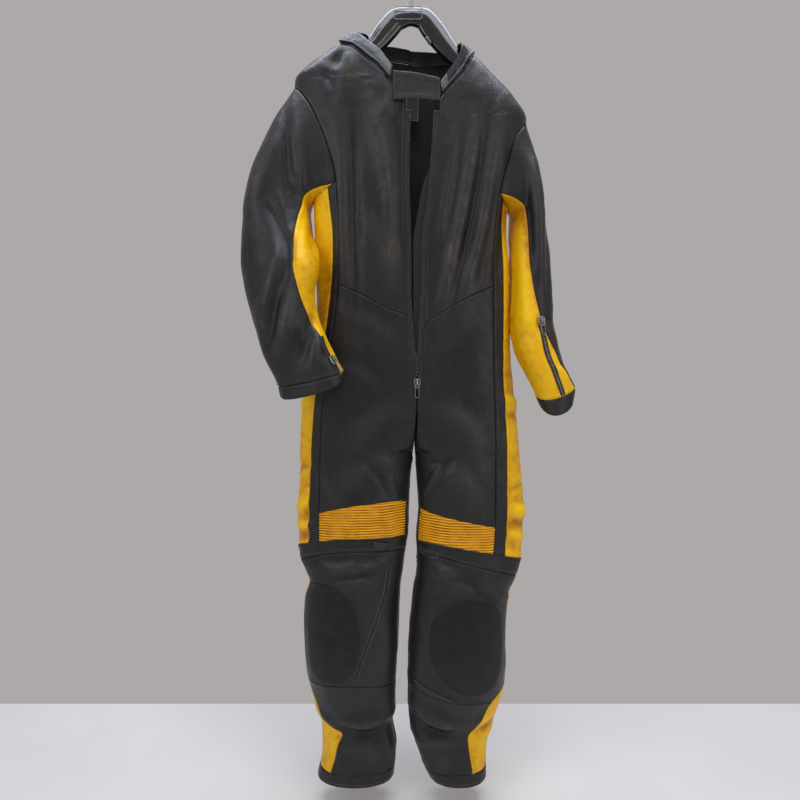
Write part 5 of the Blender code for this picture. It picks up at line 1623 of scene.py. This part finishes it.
# %% Neck label
share, rise = np.meshgrid(np.linspace(0, 1, 14), np.linspace(0, 1, 24))
label = np.stack([0.004 + 0.028 * (share - 0.5), 0.0330 + 0.0008 * np.sin(7 * share),
                  -0.262 + 0.052 * (rise - 0.5)], -1)
label[..., 1] += (label[..., 2] + 0.262) * math.tan(math.radians(4))
small_sheet("inner_label", label, facing_front(label), LABEL, "neck_label",
            0.0008, 0.0)
border = np.concatenate([label[1, 1:-1], label[1:-1, -2], label[-2, -2:0:-1], label[-2:0:-1, 1]])
border = border + [0, -0.0004, 0]
add_ribbon("label_border", (border, facing_front(border)), 0.0012,
           0.0006, THREAD["brown"], 0.0)


# %% [markdown]
# ## The front zip
#
# Two woven tapes follow the open edges, each with a row of teeth on its free edge. Behind
# the left one lies a wind flap of thin leather. The slider waits at the bottom.

# %% Tapes, teeth and wind flap
TOOTH_PITCH = 0.0030
TOOTH = np.array([(x, y, z) for x in (-0.5, 0.5) for y in (-0.5, 0.5) for z in (-0.5, 0.5)])
TOOTH_FACES = ((0, 1, 3, 2), (4, 6, 7, 5), (0, 4, 5, 1), (2, 3, 7, 6), (0, 2, 6, 4), (1, 5, 7, 3))


def add_teeth(name, points, out, size):
    """A row of zip teeth along a line; size is across, through and along."""
    at = distances(points)
    middle = np.arange(TOOTH_PITCH, at[-1], TOOTH_PITCH)
    centre = at_distances(points, at, middle)
    normal = unit(at_distances(out, at, middle))
    along = unit(np.gradient(centre, axis=0))
    beside = unit(np.cross(along, normal))
    corners = (centre[:, None] + beside[:, None] * TOOTH[None, :, :1] * size[0]
               + normal[:, None] * TOOTH[None, :, 1:2] * size[1]
               + along[:, None] * TOOTH[None, :, 2:] * size[2])
    index = np.arange(len(centre))[:, None, None] * 8 + np.array(TOOTH_FACES)[None]
    mesh = bpy.data.meshes.new(name)
    mesh.from_pydata(corners.reshape(-1, 3).tolist(), [], index.reshape(-1, 4).tolist())
    close_up(mesh)
    made = add_piece(name, mesh, DARK_NICKEL)
    soften = made.modifiers.new("soft edges", "BEVEL")
    soften.width = 0.0003
    soften.segments = 1


def edge_x(side, z):
    """x of the front edge of one side."""
    return column(BODY[side], BODY_COLUMNS, "edge", z)


for side, name in SIDES.items():
    z = np.linspace(ZIP_BOTTOM_Z + 0.012, NECKLINE[side][0][1] - 0.012, 150)[:, None]
    gap = edge_x(LEFT, z) - edge_x(RIGHT, z)
    width = np.minimum(0.010, gap / 2 - 0.0012)
    edge, _ = on_body(side, 0 * z[:, 0], z[:, 0])
    share = np.linspace(0, 1, 5)[None, :]
    tape = np.repeat(edge[:, None], 5, axis=1)
    tape[..., 0] += side * 0.0030 - side * (0.0030 + width) * share
    tape[..., 1] += 0.0016 + 0.0008 * share
    forward = facing_front(tape)
    small_sheet(f"tape_{name}", tape, forward, TAPE, f"zip_tape_{name}", 0.0009,
                0.0)
    add_teeth(f"teeth_{name}", tape[:, -1] + [0, -0.0003, 0], forward[:, -1],
              (0.0034, 0.0018, 0.0016))

z = np.linspace(FLAP_EDGE[-1][0], FLAP_EDGE[0][0], 110)[:, None]
share = fine_shares(0.05, 0.004)[None, :]
inner = curve(FLAP_EDGE, z)
outer = edge_x(LEFT, z) + 0.016
flap_x = inner + (outer - inner) * share
front_y = column(BODY[LEFT], BODY_COLUMNS, "front", z)
flap = np.stack([flap_x, 0.0085 - 0.0025 * share - front_y, z + 0 * flap_x], -1)
forward = facing_front(flap)
flap = flap + forward * (0.0016 * uneven(flap, 0.045, 3.0))[..., None]
small_sheet("front_wind_flap", flap, forward, BLACK, "wind_flap", 0.0014,
            0.05)
stitch((flap[:, 4] + [0, -0.0004, 0], forward[:, 4]))


# %% [markdown]
# ## Sliders and pulls
#
# A slider is a small cast body with a bridge on top. Its pull hangs from the bridge by an
# eye. Each pull is a piece of its own, because it can swing.

# %% Sliders and pulls
SLIDER = {"width": 0.0115, "height": 0.0170, "depth": 0.0060}
PULL = {"width": 0.0080, "length": 0.0340, "thick": 0.0016, "eye": 0.0004}
SUIT_LEATHER, SUIT_LIFT = 0.002, 0.0004


def plate_mesh(name, outline, hole, thick, bevel):
    """A flat plate with a hole and rounded edges, from a filled curve."""
    data = bpy.data.curves.new(name, "CURVE")
    data.dimensions = "2D"
    data.extrude = thick / 2 - bevel
    data.bevel_depth = bevel
    data.bevel_resolution = 2
    for line in (outline, hole):
        spline = data.splines.new("POLY")
        spline.points.add(len(line) - 1)
        spline.use_cyclic_u = True
        for point, (x, y) in zip(spline.points, line):
            point.co = (x, y, 0, 1)
    source = bpy.data.objects.new(name, data)
    bpy.context.scene.collection.objects.link(source)
    bpy.context.view_layer.update()
    mesh = bpy.data.meshes.new_from_object(source)
    bpy.data.objects.remove(source)
    bpy.data.curves.remove(data)
    mesh.name = name
    return mesh


def oval(cx, cy, rx, ry, count=20):
    """Points of an oval."""
    turn = np.linspace(0, 2 * math.pi, count, endpoint=False)
    return [(cx + rx * math.cos(t), cy + ry * math.sin(t)) for t in turn]


def pull_outline():
    """A pull: waisted under its eye, broad and rounded at its free end."""
    half, length, eye = PULL["width"] / 2, PULL["length"], PULL["eye"]
    right = [(0.0, eye), (0.0020, eye - 0.0004), (0.0032, eye - 0.0022), (0.0032, -0.0060),
             (0.0021, -0.0100), (0.0022, -0.0140), (half, -0.0200), (half, -length + 0.0040),
             (0.0030, -length + eye + 0.0012), (0.0015, -length + eye + 0.0002)]
    return right + [(0.0, -length + eye)] + [(-x, y) for x, y in right[:0:-1]]


def add_slider(name, place, run, outward, body):
    """A slider on its node's place, and the pull that rides its own body."""
    down = Vector(run).normalized()
    out = (Vector(outward) - down * down.dot(Vector(outward))).normalized()
    turn = Matrix((out.cross(down), -out, -down)).transposed().to_4x4()
    depth, height, width = SLIDER["depth"], SLIDER["height"], SLIDER["width"]
    middle = Vector(place) + out * (SUIT_LEATHER / 2 + depth / 2 + SUIT_LIFT)
    frame_at = Matrix.Translation(middle) @ turn
    half, tall = width / 2, height / 2
    waist = [(-half, tall - 0.002), (-half + 0.002, tall), (half - 0.002, tall),
             (half, tall - 0.002), (half, -0.002), (half * 0.62, -tall), (-half * 0.62, -tall),
             (-half, -0.002)]
    cast = plate_mesh(f"{name}_cast", waist, oval(0, 0.001, 0.0006, 0.0006, 8), depth * 0.72,
                      0.0007)
    cast.transform(Matrix.Rotation(math.radians(90), 4, "X"))
    cast.transform(Matrix.Translation((0, depth * 0.13, 0)))
    arc = [(0, -depth * 0.20 - 0.0022 * math.sin(t), 0.0050 * math.cos(t) + 0.0012)
           for t in np.linspace(0, math.pi, 14)]
    arc = np.array(arc)
    sideways = np.tile([1.0, 0.0, 0.0], (len(arc), 1))
    bridge = ribbon_mesh(f"{name}_bridge", arc, sideways, 0.0012, 0.0030, 8)
    work = bmesh.new()
    work.from_mesh(cast)
    work.from_mesh(bridge)
    joined = bpy.data.meshes.new(f"{name}_slider_body")
    work.to_mesh(joined)
    work.free()
    joined.transform(frame_at)
    slider = add_piece(f"{name}_slider_body", joined, NICKEL)
    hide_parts(f"{name}_slider")

    pull_y = -(depth / 2 + PULL["thick"] / 2 + SUIT_LIFT)
    pivot = middle + turn.to_3x3() @ Vector((0, pull_y, height * 0.28))
    tab = plate_mesh(f"{name}_pull_plate", pull_outline(), oval(0, -0.0030, 0.0017, 0.0019),
                     PULL["thick"], 0.00035)
    tab.transform(Matrix.Rotation(math.radians(90), 4, "X"))
    tab.transform(Matrix.Translation(pivot) @ turn)
    made = add_piece(f"{name}_pull_plate", tab, NICKEL, body)
    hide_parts(f"{name}_pull")


zip_middle = float((edge_x(LEFT, ZIP_BOTTOM_Z) + edge_x(RIGHT, ZIP_BOTTOM_Z)) / 2)
zip_front = -float(column(BODY[LEFT], BODY_COLUMNS, "front", ZIP_BOTTOM_Z))
add_slider("zip", (zip_middle, zip_front - SUIT_LIFT, ZIP_BOTTOM_Z), (0, 0, -1), (0, -1, 0),
           "zip_pull")

CUFF_ZIPS = {LEFT: {"row": 5.1, "degrees": 92, "end": 7.95},
             RIGHT: {"row": 7.3, "degrees": 166, "end": 7.95}}
for side, name in SIDES.items():
    row, angle = CUFF_ZIPS[side]["row"], math.radians(CUFF_ZIPS[side]["degrees"])
    here = sleeve_point(side, angle, row)
    run = sleeve_point(side, angle, row + 0.3) - here
    beside = sleeve_point(side, angle + 0.1, row) - here
    outward = np.cross(run, beside)
    outward *= np.sign(outward @ (here - sleeve_point(side, angle + math.pi, row)))
    add_slider(f"cuff_zip_{name}", here, run, outward, f"cuff_zip_{name}_pull")
    rows = np.linspace(min(row, 6.4), CUFF_ZIPS[side]["end"], 60)
    for k, off in enumerate((-0.075, 0.075)):
        line = sleeve_surface(side, angle + off + 0 * rows, rows, 0.0009)[:2]
        add_ribbon(f"cuff_tape_{name}_{k}", line, 0.0048, 0.0014, TAPE)
    line = sleeve_surface(side, angle + 0 * rows, rows, 0.0010)[:2]
    add_teeth(f"cuff_teeth_{name}", *line, (0.0044, 0.0016, 0.0017))


# %% [markdown]
# ## Hanger and hook
#
# The hanger is one moulding of glossy ABS: two arms that thicken to broad shoulder ends, a
# low block in the middle with a raised rib along its front. The bare plate is clipped on.
# The hook is a strip of chromed steel, bent round the rail.

# %% Hanger, plate and hook
HANGER_COLUMNS = ("x", "z", "tall", "deep")
HANGER = (
    (-203, -229, 6, 10), (-195, -223, 10, 16), (-165, -203, 12, 16), (-120, -181, 15, 14),
    (-78, -153, 18, 12), (-48, -119, 22, 11), (-26, -98.5, 21.5, 11), (0, -94, 17.5, 11),
    (24, -97.5, 20.5, 11), (46, -121, 23, 11), (78, -160, 19, 12), (120, -201, 15, 14),
    (155, -234, 12, 16), (188, -267, 10, 16), (196, -276, 6, 10),
)
station = np.linspace(0, len(HANGER) - 1, 141)
rows = [(k, *values) for k, values in enumerate(metres(HANGER))]
columns = ("row",) + HANGER_COLUMNS
x, z, tall, deep = (column(rows, columns, name, station) for name in HANGER_COLUMNS)
turn = np.linspace(0, 2 * math.pi, 48, endpoint=False)
c, s = round_off(turn)
rib = 1 - 0.10 * np.exp(-((s - 0.55) / 0.16) ** 2) - 0.10 * np.exp(-((s + 0.55) / 0.16) ** 2)
slope = np.arctan2(np.gradient(z), np.gradient(x))
hanger = np.stack([x[:, None] - tall[:, None] * s * np.sin(slope)[:, None],
                   deep[:, None] * c * rib,
                   z[:, None] + tall[:, None] * s * np.cos(slope)[:, None]], -1)
away = hanger - np.stack([x, 0 * x, z], -1)[:, None]
mesh = sheet_mesh("hanger_moulding", hanger, away, np.zeros(hanger.shape[:2]), ring=True)
close_up(mesh, 60)
mesh.shade_smooth()
moulding = add_piece("hanger_moulding", mesh, ABS)
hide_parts("hanger")
boss = ribbon_mesh("hanger_boss", np.array([[0.030 + 0.0013 * k, -0.0118, -0.138 - 0.0019 * k]
                                            for k in range(9)]),
                   np.tile([0.0, -1.0, 0.0], (9, 1)), 0.0075, 0.0040, 12)
boss = add_piece("hanger_boss", boss, ABS)

PLATE = {"width": 0.056, "height": 0.024, "thick": 0.0022, "x": -0.006, "y": -0.0133,
         "z": -0.0935}


def rounded_box(width, height, corner, steps=6):
    """Outline of a rectangle with round corners."""
    line = []
    for k, (sx, sy) in enumerate(((1, 1), (-1, 1), (-1, -1), (1, -1))):
        for t in np.linspace(0, math.pi / 2, steps):
            angle = t + k * math.pi / 2
            line.append((sx * (width / 2 - corner) + corner * math.cos(angle),
                         sy * (height / 2 - corner) + corner * math.sin(angle)))
    return line


joined = plate_mesh("hanger_clip_plate", rounded_box(PLATE["width"], PLATE["height"], 0.0045),
                    oval(0, 0, 0.0003, 0.0003, 6), PLATE["thick"], 0.0007)
joined.transform(Matrix.Rotation(math.radians(90), 4, "X"))
joined.transform(Matrix.Translation((PLATE["x"], PLATE["y"], PLATE["z"])))
made = add_piece("hanger_clip_plate", joined, PLATE_ABS)
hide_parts("hanger_plate")

HOOK = {"width": 0.012, "thick": 0.003, "radius": 0.017, "foot_z": -0.0745}
radius = HOOK["radius"] + HOOK["thick"] / 2
profile = [(0.0, HOOK["foot_z"]), (0.0, -0.066), (0.0, -0.058), (-0.004, -0.048)]
for degrees in range(-50, 201, 5):
    turn = math.radians(degrees)
    profile.append((-radius * math.cos(turn), -HOOK["radius"] + radius * math.sin(turn)))
profile = np.array(profile)
across = np.linspace(-HOOK["width"] / 2, HOOK["width"] / 2, 7)
strip = np.array([[(w, y, z) for w in across] for y, z in profile])
strip_out = np.zeros_like(strip)
strip_out[..., 1:] = (profile - [0, -HOOK["radius"]])[:, None]
hook = add_piece("hook_strip", sheet_mesh("hook_strip", strip, strip_out,
                                          np.zeros(strip.shape[:2])), CHROME)
wall = hook.modifiers.new("steel thickness", "SOLIDIFY")
wall.thickness = HOOK["thick"]
wall.offset = 0
rounding = hook.modifiers.new("rounded edges", "BEVEL")
rounding.width = 0.0008
rounding.segments = 3
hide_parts("hook")

for thread in THREAD:
    add_stitches(thread)

# %% [markdown]
# ## Floor and light
#
# A white table top ends a hand's width behind the suit, and the pale warm grey of the world
# shows past it. There is no wall, so the suit can also be looked at from behind. One large
# cool light above slides along the creases, and soft light from the front fills the hollows.

# %% Floor
FLOOR_Z, FLOOR_BACK = -1.80, 0.36


def plain_surface(name, corners, colours):
    """A flat stage surface with a faint drift of tone."""
    mesh = bpy.data.meshes.new(name)
    mesh.from_pydata(corners, [], [(0, 1, 2, 3)])
    made = bpy.data.objects.new(name, mesh)
    bpy.context.scene.collection.objects.link(made)
    finish, tree, shader, place = new_finish(name + " finish", Roughness=0.7)
    tone = noise_at(tree, place, 400.0, 2.0)
    feed(tree, shader, Base_Color=ramp(tree, tone, ((0.3, colours[0]), (0.7, colours[1]))))
    mesh.materials.append(finish)


plain_surface("table", [(-4, -4, FLOOR_Z), (4, -4, FLOOR_Z), (4, FLOOR_BACK, FLOOR_Z),
                        (-4, FLOOR_BACK, FLOOR_Z)], ("#e0dfde", "#e8e7e6"))


# %% Lights
def soft_light(name, place, target, size, watts, hex_colour):
    """A rectangular light that faces a target."""
    data = bpy.data.lights.new(name, "AREA")
    data.shape = "RECTANGLE"
    data.size, data.size_y = size
    data.energy = watts
    data.color = linear(hex_colour)[:3]
    made = bpy.data.objects.new(name, data)
    made.location = place
    made.rotation_euler = (Vector(target) - Vector(place)).to_track_quat("-Z", "Y").to_euler()
    bpy.context.scene.collection.objects.link(made)


soft_light("overhead", (0.0, 0.08, 0.66), (0.0, -0.15, -1.0), (1.6, 0.75), 24, "#e6efff")
soft_light("ceiling", (0.1, -1.1, 1.5), (0.0, 0.0, -0.8), (2.0, 1.2), 30, "#eef3ff")
soft_light("window", (-1.9, -1.7, 0.1), (0.0, 0.0, -0.9), (1.2, 1.8), 14, "#f6f7ff")
soft_light("room", (1.8, -2.2, -0.3), (0.0, 0.0, -1.0), (1.6, 1.8), 14, "#fff6ea")
world = bpy.data.worlds.new("room air")
world.use_nodes = True
world.node_tree.nodes["Background"].inputs["Color"].default_value = linear("#ebe6e5")
world.node_tree.nodes["Background"].inputs["Strength"].default_value = 0.50
bpy.context.scene.world = world
bpy.context.scene.view_settings.view_transform = "Standard"   # hex colours show as written

# %% [markdown]
# ## Finish
#
# The flat width, length and area of every sheet are printed.

# %% Sizes and finish
for name, (width, length, area) in sorted(FLAT_SIZES.items()):
    print(f"{name}: {width} x {length} m, {area} m2")
